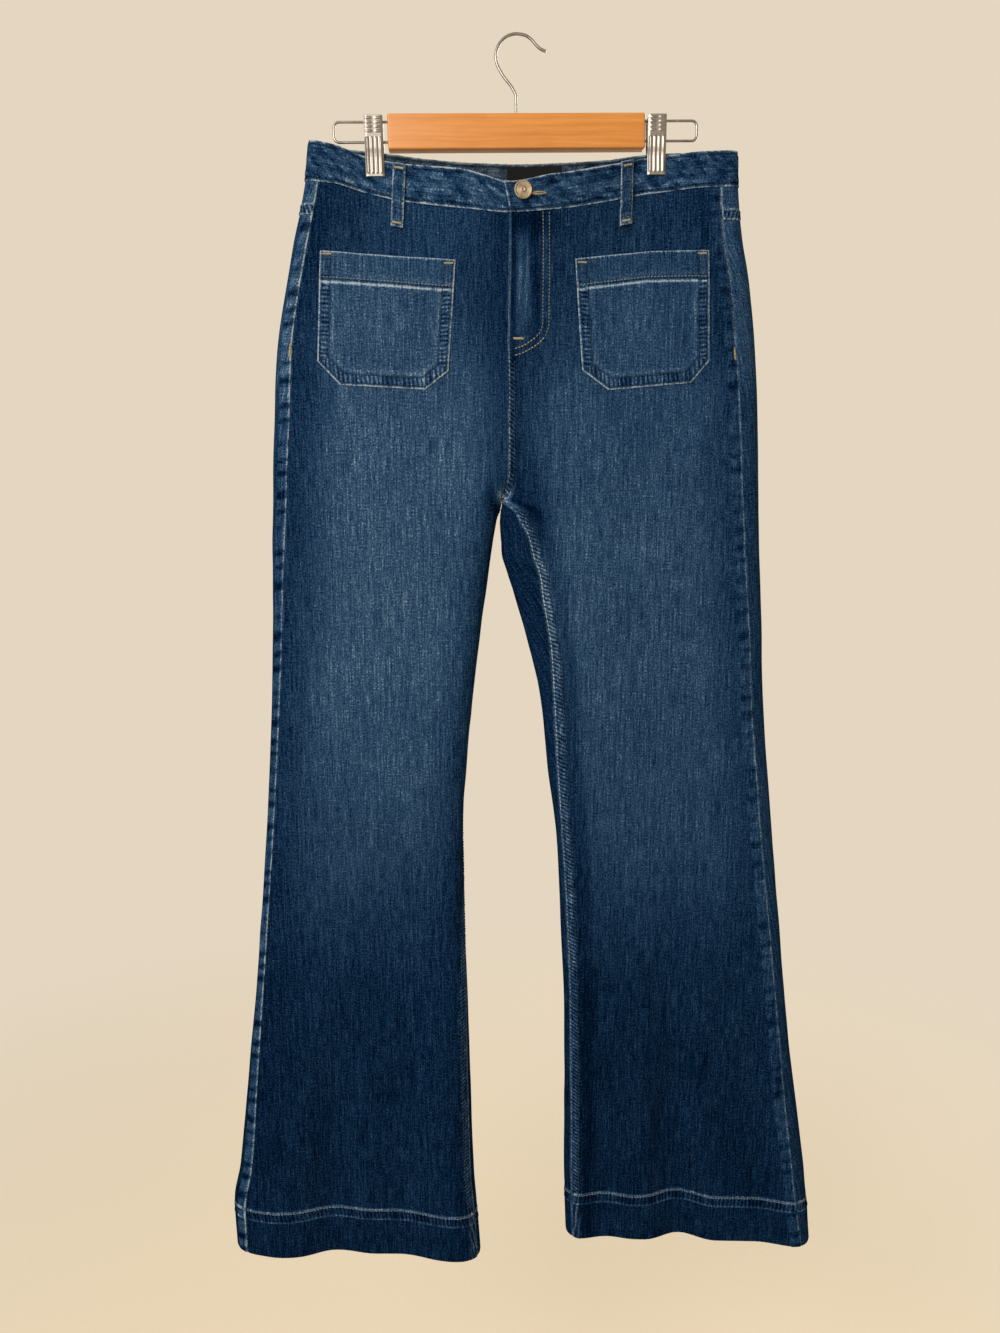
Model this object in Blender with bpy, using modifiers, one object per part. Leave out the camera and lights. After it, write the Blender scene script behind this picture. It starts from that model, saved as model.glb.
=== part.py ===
"""Wide-leg jeans held by their waistband on a wooden clip hanger.

Millimetres in the tables, metres in the scene. +Z is up and the front faces -Y.
The origin is the highest point inside the crook of the hanger's hook.
Sides are named as worn: the wearer's right lies at -X.
"""
import math
from collections import namedtuple

import bmesh
import bpy
import numpy as np
from mathutils import Vector

MM = 0.001

# Cloth
DENIM = 1.1
BAND_THICKNESS = 2.2
BAND_STEP = 0.9
LOOP_THICKNESS = 1.4
LABEL_THICKNESS = 0.8
SEAM_HALF_GAP = 0.25
LAY_GAP = 0.35
PATCH_GAP = 0.8
FRONT_LOOP_GAP = 1.3
BACK_LOOP_GAP = 0.5

# Nominal heights, before the waist sags and the hems tilt
BAND_TOP = -98.5
BAND_BOTTOM = -131.0
YOKE_SIDE = -161.0
YOKE_CENTRE = -196.0
FLY_END = -292.0
RISE_BEND = -395.0
CROTCH = -425.0
HEM = {"right": -1246.0, "left": -1243.0}

ROW_HEIGHTS = (
    -131, -146, -161, -185, -212, -245, -280, -296, -318, -345, -372, -395,
    -407, -417, -425, -434, -444, -456, -472, -492, -520, -560, -615, -685,
    -765, -830, -862, -894, -930, -1000, -1070, -1135, -1192, -1246,
)

# Where the waist's sag, the yoke's slope and the hem's tilt fade out
SAG_END = -300.0
YOKE_FADE_END = -310.0
CLIP_PINCH_TOP = -140.0
CLIP_PINCH_END = -235.0
TILT_START = -700.0

# How much lower the inner end of each hem hangs than the outer end
HEM_TILT = {"right": -12.0, "left": 14.0}

# Fly: the left front laps over the right one
FLY_UNDERLAP = 9.0
FLY_LIFT = 1.7
FLY_LIFT_END = -345.0
FLY_WIDTH = (16.0, 44.0)
BAND_UNDERLAP = 30.0
BAND_LIFT = 2.7
BAND_LEAN = 6.0

# Radius across each leg's folded edges
OUTER_FOLD = 24.0
INNER_FOLD = 20.0
WAIST_FOLD = 11.0
WAIST_FOLD_RUN = 60.0

Section = namedtuple("Section", "height outer seam_inset inner inseam_wrap depth")
SECTIONS = {
    "right": (
        Section(-98, -195.5, 12, -8, 0, 12),
        Section(-131, -200.5, 13, -8, 0, 12),
        Section(-193, -214.5, 14.5, -8.5, 0, 12),
        Section(-285, -232, 16, -9, 0, 13),
        Section(-349, -237, 17, -8.5, 0, 14),
        Section(-395, -239.5, 16, -8.5, 0, 15),
        Section(-425, -240.7, 15.5, -14.3, 0, 15),
        Section(-444, -241.5, 15, -19.3, -14, 15),
        Section(-470, -242.8, 14, -23.8, -19, 15),
        Section(-566, -246, 11, -37.6, -21, 14),
        Section(-670, -252, 9.5, -49, -19, 14),
        Section(-777, -260.4, 8.6, -55.8, -11, 13),
        Section(-850, -267.5, 8.8, -55.2, -2, 13),
        Section(-926, -274.8, 9, -52.2, 6, 13),
        Section(-1041, -288.5, 12, -49, 10, 14),
        Section(-1148, -301.5, 15, -45.8, 11, 15),
        Section(-1192, -309.3, 15, -42.5, 11, 16),
        Section(-1246, -307.7, 13, -39.3, 11, 16),
    ),
    "left": (
        Section(-98, 209.5, 17, -8, 0, 12),
        Section(-131, 212, 18, -8, 0, 12),
        Section(-180, 218, 19.5, -8, 0, 12),
        Section(-225, 227.3, 21, -8.5, 0, 12),
        Section(-290, 234.8, 21.5, -9, 0, 13),
        Section(-328, 238.4, 21, -8.5, 0, 14),
        Section(-395, 242, 20, -8.3, 0, 15),
        Section(-425, 243.4, 19, -13.8, 0, 15),
        Section(-437, 244, 18.5, -16.3, 22, 15),
        Section(-448, 244.8, 18.5, -17.2, 28, 15),
        Section(-460, 245.5, 18, -16.3, 34, 15),
        Section(-479, 246.6, 18, -15.3, 38, 15),
        Section(-498, 248, 17.5, -9.7, 39, 15),
        Section(-522, 249.7, 17, -2.2, 35, 15),
        Section(-567, 252.9, 15.5, 11.1, 29, 14),
        Section(-625, 256, 15, 24.5, 21, 14),
        Section(-707, 265, 15, 33.6, 17, 14),
        Section(-779, 272.8, 14.5, 43, 13, 13),
        Section(-879, 285.1, 13.5, 48.2, 14, 13),
        Section(-966, 295.4, 12.5, 52.6, 13, 13),
        Section(-1090, 312.9, 16, 54, 14.5, 14),
        Section(-1159, 323.7, 17.5, 54.5, 15, 15),
        Section(-1246, 333, 13, 57.7, 15, 16),
    ),
}

# Centre lines at the waist: the back seam stands to the right of the front one as seen
BACK_CENTRE_SHIFT = 16.0
CENTRE_SHIFT_RUN = 200.0

WaistStop = namedtuple("WaistStop", "across front_depth back_depth front_sag back_sag")
WAIST = (
    WaistStop(-200, 6.0, 6.0, 0, 0),
    WaistStop(-172, 5.5, 5.0, 2.5, 1),
    WaistStop(-145, 1.45, 1.45, 9, 4),
    WaistStop(-123, 1.45, 1.45, 14, 6),
    WaistStop(-90, 9, 4, 20.5, 9),
    WaistStop(-50, 15, 6.5, 25.5, 11),
    WaistStop(-5, 18, 8, 29.5, 11.5),
    WaistStop(45, 15, 6.5, 24, 10),
    WaistStop(88, 9, 4, 15.5, 7.5),
    WaistStop(118, 1.45, 1.45, 8, 4),
    WaistStop(140, 1.45, 1.45, 5, 2),
    WaistStop(175, 5.5, 5.0, 1.5, 0.5),
    WaistStop(211, 6.0, 6.0, 0, 0),
)

# Folds that run up each leg, with across and half_width as shares of its width
FOLD_FULL_HEIGHT = -1150.0
Fold = namedtuple("Fold", "leg across half_width shift top")
FOLDS = (
    Fold("right", 0.20, 0.20, -8.0, -900),
    Fold("right", 0.42, 0.16, 5.0, -930),
    Fold("right", 0.90, 0.24, -12.0, -860),
    Fold("left", 0.06, 0.18, -8.0, -950),
    Fold("left", 0.54, 0.15, 13.0, -830),
    Fold("left", 0.84, 0.12, 5.0, -1000),
)

Loop = namedtuple("Loop", "name side across back width lean")
LOOPS = (
    Loop("belt_loop_front_right", "right", -110.5, False, 12.5, -4.0),
    Loop("belt_loop_front_left", "left", 102.5, False, 12.5, 0.0),
    Loop("belt_loop_side_right", "right", -92.0, True, 12.5, 0.0),
    Loop("belt_loop_side_left", "left", 96.0, True, 12.5, 0.0),
    Loop("belt_loop_back", "left", 8.0, True, 16.0, 0.0),
)
LOOP_RISE = 0.5
LOOP_DROP = 58.0
LOOP_FOOT_START = 4.0
LOOP_FOOT_RUN = 10.0

Corner = namedtuple("Corner", "across height")
POCKETS = {
    "right": {
        "top": (Corner(-187, -194.5), Corner(-123, -198), Corner(-59.3, -202.2)),
        "low": (Corner(-191.8, -295.7), Corner(-170.9, -317.5), Corner(-89.5, -321.5), Corner(-67, -304.2)),
    },
    "left": {
        "top": (Corner(183.2, -190.2), Corner(125, -191.5), Corner(54.2, -200.1)),
        "low": (Corner(186, -293), Corner(168.6, -313.8), Corner(87.9, -321.1), Corner(62.1, -302.5)),
    },
}
POCKET_TOP_STOPS = (0.0, 0.5, 1.0)
POCKET_LOW_STOPS = (0.0, 0.17, 0.83, 1.0)

LABEL_SPAN = (-15.5, 41.8)
LABEL_HEIGHT = 20.0
LABEL_DROP = 3.0

BUTTON_CENTRE = (3.4, -139.5)
BUTTON_RADIUS = 8.5
BUTTON_HEIGHT = 3.6
SHANK_RADIUS = 4.0

# Hanger, in a frame of its own that tilts about the foot of the hook
HANGER_TILT = math.radians(1.1)
STEM_FOOT = (-1.3, 0.0, -71.0)
BAR_SIZE = (237.0, 14.0, 30.3)
BAR_EDGE = 4.0
WIRE_RADIUS = 1.2
HOOK_RADIUS = 1.4
RAIL_REACH = 171.5
RAIL_HEIGHTS = (-3.6, -21.4)
RAIL_CORNER = 5.0
CLIP_CENTRES = {"right": -132.0, "left": 130.6}
CLIP_WIDTH = 18.6
CLIP_PLATE = 1.2
CORE_SIZE = (13.0, 9.0, 25.0)
CORE_TOP = -0.6
JawBend = namedtuple("JawBend", "out height")
JAW = (
    JawBend(8.6, -2.6), JawBend(7.6, -12), JawBend(6.7, -22), JawBend(5.8, -30),
    JawBend(4.3, -36), JawBend(3.85, -39), JawBend(3.85, -54.8),
)

HookBend = namedtuple("HookBend", "across height")
HOOK = (
    HookBend(0, 0.3), HookBend(0, 17), HookBend(-3.5, 25.5), HookBend(-11.8, 36.2),
    HookBend(-17.4, 46.4), HookBend(-18.6, 53.2), HookBend(-16.8, 60.4), HookBend(-12.2, 67.0),
    HookBend(-5.6, 71.2), HookBend(1.3, 72.4), HookBend(9.0, 71.2), HookBend(14.9, 67.6),
    HookBend(19.4, 62.8), HookBend(23.4, 59.4), HookBend(28.8, 57.2),
)
HOOK_STEPS = 2


def smoothstep(value):
    value = min(max(value, 0.0), 1.0)
    return value * value * (3 - 2 * value)


def slopes(keys, values):
    """Slopes at a table's rows that never overshoot its values"""
    steps = np.diff(values) / np.diff(keys)
    found = np.zeros(len(keys))
    found[0], found[-1] = steps[0], steps[-1]
    for i in range(1, len(keys) - 1):
        if steps[i - 1] * steps[i] > 0:
            found[i] = 2 / (1 / steps[i - 1] + 1 / steps[i])
    return found


def make_curve(keys, values):
    """Smooth function through a table's rows, whose keys may fall or rise"""
    order = np.argsort(keys)
    keys = np.array(keys, float)[order]
    values = np.array(values, float)[order]
    tangents = slopes(keys, values)

    def curve(key):
        key = min(max(key, keys[0]), keys[-1])
        i = min(int(np.searchsorted(keys, key, side="right")) - 1, len(keys) - 2)
        width = keys[i + 1] - keys[i]
        t = (key - keys[i]) / width
        start = (1 + 2 * t) * (1 - t) ** 2 * values[i] + t * (1 - t) ** 2 * width * tangents[i]
        end = t * t * (3 - 2 * t) * values[i + 1] - t * t * (1 - t) * width * tangents[i + 1]
        return float(start + end)

    return curve


def table_curves(rows, key):
    """One smooth function for each column of a table"""
    keys = [getattr(row, key) for row in rows]
    return {
        column: make_curve(keys, [getattr(row, column) for row in rows])
        for column in rows[0]._fields
        if column not in (key, "leg")
    }


BODY = {side: table_curves(rows, "height") for side, rows in SECTIONS.items()}
WAIST_CURVES = table_curves(WAIST, "across")
OUTWARD = {"right": -1.0, "left": 1.0}


def closing(height):
    """0 where the legs are one at the centre, 1 below the crotch, along the rise seam"""
    if height >= RISE_BEND:
        return 0.0
    if height <= CROTCH:
        return 1.0
    fall = (RISE_BEND - height) / (RISE_BEND - CROTCH)
    return 1 - math.sqrt(1 - fall * fall)


def outer_fold(height):
    """Radius across the outer edge, which is tighter at the waist"""
    return WAIST_FOLD + (OUTER_FOLD - WAIST_FOLD) * smoothstep((BAND_BOTTOM - height) / WAIST_FOLD_RUN)


def quarter(radius, depth):
    """Length of a quarter of the folded edge"""
    return math.pi / 2 * math.sqrt((radius * radius + depth * depth) / 2)


def inset_length(inset, radius, depth):
    """Length along the cloth from a folded edge to a seam that shows at an inset from it"""
    reach = abs(inset)
    if reach < radius:
        length = quarter(radius, depth) * math.acos(1 - reach / radius) / (math.pi / 2)
    else:
        length = quarter(radius, depth) + reach - radius
    return math.copysign(length, inset)


def section(side, height):
    """Sizes of one half's section: its edges, folds, seams and lengths"""
    read = BODY[side]
    outer, inner, depth = read["outer"](height), read["inner"](height), read["depth"](height)
    fold = outer_fold(height)
    edge = quarter(fold, depth)
    inner_edge = quarter(INNER_FOLD, depth)
    flat = abs(outer - inner) - fold - INNER_FOLD
    half = edge + flat + inner_edge
    seam = inset_length(read["seam_inset"](height), fold, depth)
    inseam = half - read["inseam_wrap"](height)
    return {
        "outer": outer, "inner": inner, "fold": fold, "edge": edge, "inner_edge": inner_edge,
        "flat": flat, "half": half, "seam": seam, "inseam": inseam, "depth": depth,
    }


def sway(side, share, height):
    """Depth of the soft folds that run up each leg from its hem"""
    total = 0.0
    for fold in FOLDS:
        if fold.leg == side and height < fold.top:
            off = (share - fold.across) / fold.half_width
            if abs(off) < 1:
                strength = smoothstep((fold.top - height) / (fold.top - FOLD_FULL_HEIGHT))
                total += fold.shift * strength * math.cos(off * math.pi / 2) ** 2
    return total


def wall_depth(across, height, back, depth):
    """Distance of the cloth's outer face from the hanging plane"""
    waist = WAIST_CURVES["back_depth" if back else "front_depth"](across)
    free = smoothstep((CLIP_PINCH_TOP - height) / (CLIP_PINCH_TOP - CLIP_PINCH_END))
    return waist + (depth - waist) * free


def sag(across, height, back):
    """Drop of the waist below its ends, which fades out down the seat"""
    drop = WAIST_CURVES["back_sag" if back else "front_sag"](across)
    return -drop * (1 - smoothstep((BAND_BOTTOM - height) / (BAND_BOTTOM - SAG_END)))


def tilt(side, share, height):
    """Slope of the hem, which grows down the leg"""
    grow = smoothstep((TILT_START - height) / (TILT_START - HEM[side]))
    return HEM_TILT[side] * (share - 0.5) * grow


def fly_lift(across, height, lift):
    """How far the left front stands out where it laps over the right one"""
    near = 1 - smoothstep((across - FLY_WIDTH[0]) / (FLY_WIDTH[1] - FLY_WIDTH[0]))
    low = 1 - smoothstep((FLY_END - height) / (FLY_END - FLY_LIFT_END))
    return lift * near * low


def cloth_point(side, height, along, lift=0.0):
    """Point of the cloth's outer face.

    along is measured from the outer edge: positive over the front, negative over the back.
    """
    size = section(side, height)
    half, edge, flat = size["half"], size["edge"], size["flat"]
    close = closing(height)
    if close == 1 and abs(along) > half:
        along -= math.copysign(2 * half, along)
    back = along < 0
    reach = abs(along)
    rise = 1.0
    if reach < edge:
        angle = reach / edge * math.pi / 2
        inset = size["fold"] * (1 - math.cos(angle))
        rise = math.sin(angle)
    elif reach < edge + flat:
        inset = size["fold"] + reach - edge
    elif reach <= half:
        left = (half - reach) / size["inner_edge"]
        angle = left * math.pi / 2
        inset = abs(size["outer"] - size["inner"])
        inset -= INNER_FOLD * ((1 - close) * left + close * (1 - math.cos(angle)))
        rise = 1 - close + close * math.sin(angle)
    else:
        inset = abs(size["outer"] - size["inner"]) + reach - half
        rise = 1 - close
    share = inset / abs(size["outer"] - size["inner"])
    across = size["outer"] - OUTWARD[side] * inset
    if back:
        across += BACK_CENTRE_SHIFT * share * smoothstep((height - RISE_BEND) / CENTRE_SHIFT_RUN)
    depth = wall_depth(across, height, back, size["depth"])
    if side == "left" and not back:
        depth += fly_lift(across, height, lift)
    y = (depth if back else -depth) * rise + sway(side, share, height)
    z = height + sag(across, height, back) + tilt(side, share, height)
    return Vector((across, y, z))


def cloth_normal(side, height, along, lift=0.0):
    """Direction that points out of the cloth"""
    step = 0.4
    run = cloth_point(side, height, along + step, lift) - cloth_point(side, height, along - step, lift)
    rise = cloth_point(side, height + step, along, lift) - cloth_point(side, height - step, along, lift)
    normal = run.cross(rise).normalized()
    return -normal if side == "left" else normal


def moved_out(side, height, along, distance, lift=0.0):
    """Point at a distance outside the cloth's outer face"""
    return cloth_point(side, height, along, lift) + cloth_normal(side, height, along, lift) * distance


def front_place(side, across, height):
    """Nominal height and length along the cloth of a point seen on the flat of the front"""
    nominal = height
    for _ in range(6):
        nominal = height - sag(across, nominal, False)
    size = section(side, nominal)
    inset = abs(size["outer"] - across)
    return nominal, inset_length(inset, size["fold"], size["depth"])


def back_place(side, across, nominal):
    """Length along the cloth of a point of the back's flat, at a nominal height"""
    size = section(side, nominal)
    span = abs(size["outer"] - size["inner"])
    shift = BACK_CENTRE_SHIFT * smoothstep((nominal - RISE_BEND) / CENTRE_SHIFT_RUN)
    inset = (size["outer"] - across) / (OUTWARD[side] - shift / span)
    return -inset_length(inset, size["fold"], size["depth"])


def new_collection(name):
    made = bpy.data.collections.new(name)
    bpy.context.scene.collection.children.link(made)
    return made


def make_material(name, colour, roughness, metallic=0.0):
    material = bpy.data.materials.new(name)
    material.use_nodes = True
    shader = material.node_tree.nodes["Principled BSDF"]
    shader.inputs["Base Color"].default_value = (*colour, 1.0)
    shader.inputs["Roughness"].default_value = roughness
    shader.inputs["Metallic"].default_value = metallic
    return material


def add_object(name, data, collection, material=None):
    made = bpy.data.objects.new(name, data)
    collection.objects.link(made)
    if material:
        data.materials.append(material)
    return made


def cloth_piece(name, columns, rows, place, thickness, material, side, outward=False):
    """Grid whose points place(u, t) gives, u across and t down, made solid"""
    bm = bmesh.new()
    bmesh.ops.create_grid(bm, x_segments=columns, y_segments=rows, size=1.0)
    for vert in bm.verts:
        u = (vert.co.x + 1) / 2
        t = (1 - vert.co.y) / 2
        vert.co = place(u, t) * MM
    if side == "left":
        bmesh.ops.reverse_faces(bm, faces=bm.faces[:])
    mesh = bpy.data.meshes.new(name)
    bm.to_mesh(mesh)
    bm.free()
    mesh.shade_smooth()
    made = add_object(name, mesh, PARTS, material)
    wall = made.modifiers.new("wall", "SOLIDIFY")
    wall.thickness = thickness * MM
    wall.offset = 1.0 if outward else -1.0
    wall.use_even_offset = True
    return made


def stops(values, counts):
    """Function of 0 to 1 that passes through the values, with a count of columns between each two"""
    ends = np.concatenate(([0], np.cumsum(counts))) / sum(counts)
    return lambda u: float(np.interp(u, ends, values))


def row_height(side, rows, t):
    """Nominal height of a row of points, ending at the hem"""
    height = float(np.interp(t * (len(rows) - 1), range(len(rows)), rows))
    if height < TILT_START:
        height += (HEM[side] - ROW_HEIGHTS[-1]) * (TILT_START - height) / (TILT_START - ROW_HEIGHTS[-1])
    return height


FRONT_COLUMNS = (1, 1, 8, 4, 1)
BACK_COLUMNS = (1, 5, 6, 5, 1)
YOKE_ROWS = 2
BAND_COLUMNS = (9, 7, 7, 14, 4)
BAND_ROWS = 3
LEAST_EDGE_SPAN = 12.0
SEAM_STRIP = 1.5


def front_panel(side):
    def place(u, t):
        height = row_height(side, ROW_HEIGHTS, t)
        size = section(side, height)
        end = size["half"] if height >= CROTCH else size["inseam"]
        end -= SEAM_HALF_GAP
        if side == "right":
            under = smoothstep((height - FLY_END) / FLY_UNDERLAP)
            end += (FLY_UNDERLAP + 2 * SEAM_HALF_GAP) * under
        third = min(size["half"] - size["inner_edge"], end - LEAST_EDGE_SPAN)
        start = size["seam"] + SEAM_HALF_GAP
        second = max(size["edge"], start + LEAST_EDGE_SPAN)
        values = (start, start + SEAM_STRIP, second, third, end - SEAM_STRIP, end)
        along = stops(values, FRONT_COLUMNS)(u)
        point = cloth_point(side, height, along, FLY_LIFT)
        if t == 0:
            point.z -= SEAM_HALF_GAP
        return point

    return cloth_piece(
        "front_panel_" + side, sum(FRONT_COLUMNS), len(ROW_HEIGHTS) - 1, place, DENIM, INDIGO, side
    )


def yoke_line(side, along, height):
    """Nominal height of the yoke seam, lower towards the centre back"""
    size = section(side, height)
    share = smoothstep((-along - size["edge"]) / (size["half"] - size["edge"]) * 0.5) * 2
    return YOKE_SIDE + (YOKE_CENTRE - YOKE_SIDE) * share


def back_span(side, height):
    """Ends and inner stops of a back piece's row, from its inner seam to the side seam"""
    size = section(side, height)
    start = -size["half"] if height >= CROTCH else size["inseam"] - 2 * size["half"]
    start += SEAM_HALF_GAP
    second = max(size["inner_edge"] - size["half"], start + LEAST_EDGE_SPAN)
    end = size["seam"] - SEAM_HALF_GAP
    return (start, start + SEAM_STRIP, second, -size["edge"], end - SEAM_STRIP, end)


def back_panel(side):
    rows = [row for row in ROW_HEIGHTS if row <= YOKE_SIDE]

    def place(u, t):
        level = row_height(side, rows, t)
        along = stops(back_span(side, level), BACK_COLUMNS)(u)
        drop = yoke_line(side, along, level) - YOKE_SIDE
        height = level + drop * (1 - smoothstep((YOKE_SIDE - level) / (YOKE_SIDE - YOKE_FADE_END)))
        along = stops(back_span(side, height), BACK_COLUMNS)(u)
        point = cloth_point(side, height, along)
        if t == 0:
            point.z -= SEAM_HALF_GAP
        return point

    return cloth_piece(
        "back_panel_" + side, sum(BACK_COLUMNS), len(rows) - 1, place, DENIM, INDIGO, side
    )


def back_yoke(side):
    def place(u, t):
        level = BAND_BOTTOM + (YOKE_SIDE - BAND_BOTTOM) * t
        along = stops(back_span(side, level), BACK_COLUMNS)(u)
        height = BAND_BOTTOM + (yoke_line(side, along, YOKE_SIDE) - BAND_BOTTOM) * t
        along = stops(back_span(side, height), BACK_COLUMNS)(u)
        point = cloth_point(side, height, along)
        point.z += SEAM_HALF_GAP * (2 * t - 1)
        return point

    return cloth_piece("back_yoke_" + side, sum(BACK_COLUMNS), YOKE_ROWS, place, DENIM, INDIGO, side)


def waistband(side):
    """Band half from the centre back, round the side, to the front's lap"""
    def place(u, t):
        height = BAND_TOP + (BAND_BOTTOM - BAND_TOP) * t
        size = section(side, height)
        if side == "right":
            end = size["half"] + BAND_UNDERLAP
        else:
            end = size["half"] + BAND_LEAN * (1 - t)
        values = (
            SEAM_HALF_GAP - size["half"], -2 * size["edge"], size["edge"], 4 * size["edge"],
            size["half"] - LEAST_EDGE_SPAN, end,
        )
        along = stops(values, BAND_COLUMNS)(u)
        point = moved_out(side, height, along, BAND_STEP, BAND_LIFT)
        if t == 1:
            point.z += SEAM_HALF_GAP
        return point

    return cloth_piece(
        "waistband_" + side, sum(BAND_COLUMNS), BAND_ROWS, place, BAND_THICKNESS, INDIGO, side
    )


def front_pocket(side):
    """Patch pocket whose lower corners are cut off, on the front panel"""
    shape = POCKETS[side]
    top_x, top_z = zip(*shape["top"])
    low_x, low_z = zip(*shape["low"])

    def place(u, t):
        top = (np.interp(u, POCKET_TOP_STOPS, top_x), np.interp(u, POCKET_TOP_STOPS, top_z))
        low = (np.interp(u, POCKET_LOW_STOPS, low_x), np.interp(u, POCKET_LOW_STOPS, low_z))
        across = top[0] + (low[0] - top[0]) * t
        height = top[1] + (low[1] - top[1]) * t
        nominal, along = front_place(side, across, height)
        return moved_out(side, nominal, along, PATCH_GAP, FLY_LIFT)

    return cloth_piece("front_pocket_" + side, 10, 6, place, DENIM, INDIGO, side, outward=True)


def belt_loop(loop):
    """Strip over the waistband, with its foot on the cloth below"""
    length = LOOP_DROP + LOOP_RISE

    def place(u, t):
        drop = t * length
        height = BAND_TOP + LOOP_RISE - drop
        across = loop.across + loop.width * (u - 0.5) * -OUTWARD[loop.side] + loop.lean * t
        if loop.back:
            across = loop.across + loop.width * (u - 0.5) * OUTWARD[loop.side] + loop.lean * t
            along = back_place(loop.side, across, height)
        else:
            size = section(loop.side, height)
            along = inset_length(abs(size["outer"] - across), size["fold"], size["depth"])
        foot = smoothstep((BAND_BOTTOM - LOOP_FOOT_START - height) / LOOP_FOOT_RUN)
        out = (BACK_LOOP_GAP if loop.back else FRONT_LOOP_GAP) + BAND_STEP * (1 - foot)
        return moved_out(loop.side, height, along, out, BAND_LIFT)

    return cloth_piece(loop.name, 2, 7, place, LOOP_THICKNESS, INDIGO, loop.side, outward=True)


def inner_label():
    """Bare label on the inside of the waistband's back"""
    def place(u, t):
        across = LABEL_SPAN[0] + (LABEL_SPAN[1] - LABEL_SPAN[0]) * (1 - u)
        height = BAND_TOP - LABEL_DROP - LABEL_HEIGHT * t
        along = back_place("left", across, height)
        return moved_out("left", height, along, BAND_STEP - BAND_THICKNESS - LAY_GAP)

    return cloth_piece("inner_label", 6, 2, place, LABEL_THICKNESS, BLACK_TAPE, "right")


def turned(name, profile, material, segments=20):
    """Solid turned about its own Z from a profile that runs down its outer side"""
    mesh = bpy.data.meshes.new(name)
    bm = bmesh.new()
    verts = [bm.verts.new((radius * MM, 0, height * MM)) for radius, height in profile]
    for first, second in zip(verts, verts[1:]):
        bm.edges.new((first, second))
    bm.to_mesh(mesh)
    bm.free()
    made = add_object(name, mesh, PARTS, material)
    screw = made.modifiers.new("turn", "SCREW")
    screw.steps = screw.render_steps = segments
    screw.use_merge_vertices = True
    screw.merge_threshold = 0.00001
    screw.use_smooth_shade = True
    return made


def waist_button():
    """Domed tack button: a ridge, a groove and a raised middle on a short shank"""
    r, h = BUTTON_RADIUS, BUTTON_HEIGHT
    profile = (
        (0, h), (r * 0.32, h), (r * 0.42, h * 0.78), (r * 0.68, h * 0.78), (r * 0.8, h),
        (r * 0.93, h * 0.93), (r, h * 0.68), (r * 0.96, h * 0.5), (SHANK_RADIUS, h * 0.4),
        (SHANK_RADIUS, 0), (0, 0),
    )
    button = turned("waist_button", profile, BRASS)
    nominal = BUTTON_CENTRE[1]
    for _ in range(6):
        nominal = BUTTON_CENTRE[1] - sag(BUTTON_CENTRE[0], nominal, False)
    size = section("left", nominal)
    along = size["edge"] + abs(size["outer"] - BUTTON_CENTRE[0]) - size["fold"]
    seat = moved_out("left", nominal, along, BAND_STEP + LAY_GAP + 0.1, BAND_LIFT)
    normal = cloth_normal("left", nominal, along, BAND_LIFT)
    button.location = seat * MM
    button.rotation_euler = normal.to_track_quat("Z", "Y").to_euler()
    return button


def wire(name, points, radius, material, parent):
    """Round wire along points of its centre line"""
    data = bpy.data.curves.new(name, "CURVE")
    data.dimensions = "3D"
    data.bevel_depth = radius * MM
    data.bevel_resolution = 2
    data.use_fill_caps = True
    spline = data.splines.new("POLY")
    spline.points.add(len(points) - 1)
    for target, (x, y, z) in zip(spline.points, points):
        target.co = (x * MM, y * MM, z * MM, 1)
    made = add_object(name, data, PARTS, material)
    made.parent = parent
    return made


def block(name, size, edge, segments, material, parent, location):
    """Box with rounded edges"""
    bm = bmesh.new()
    bmesh.ops.create_cube(bm, size=1.0)
    bmesh.ops.scale(bm, vec=[value * MM for value in size], verts=bm.verts)
    mesh = bpy.data.meshes.new(name)
    bm.to_mesh(mesh)
    bm.free()
    made = add_object(name, mesh, PARTS, material)
    if edge:
        bevel = made.modifiers.new("round", "BEVEL")
        bevel.width = edge * MM
        bevel.segments = segments
        bevel.limit_method = "ANGLE"
    made.parent = parent
    made.location = [value * MM for value in location]
    return made


def hanger_hook(parent):
    """Hook wire whose crook is read from a smooth curve through its bends"""
    counts = range(len(HOOK))
    across = make_curve(counts, [bend.across for bend in HOOK])
    height = make_curve(counts, [bend.height for bend in HOOK])
    steps = np.linspace(0, len(HOOK) - 1, (len(HOOK) - 1) * HOOK_STEPS + 1)
    points = [(across(step), 0, height(step)) for step in steps]
    return wire("hanger_hook", points, HOOK_RADIUS, STEEL, parent)


def hanger_rail(side, parent):
    """Wire that leaves the bar's end, turns back at its reach and carries a clip"""
    sign = OUTWARD[side]
    start = BAR_SIZE[0] / 2 + LAY_GAP
    top, low = RAIL_HEIGHTS
    points = [(sign * start, 0, top)]
    for centre_z, first in ((top - RAIL_CORNER, 90), (low + RAIL_CORNER, 0)):
        for step in range(5):
            angle = math.radians(first - 22.5 * step)
            x = RAIL_REACH - RAIL_CORNER + RAIL_CORNER * math.cos(angle)
            points.append((sign * x, 0, centre_z + RAIL_CORNER * math.sin(angle)))
    points.append((sign * start, 0, low))
    return wire("hanger_rail_" + side, points, WIRE_RADIUS, STEEL, parent)


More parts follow.
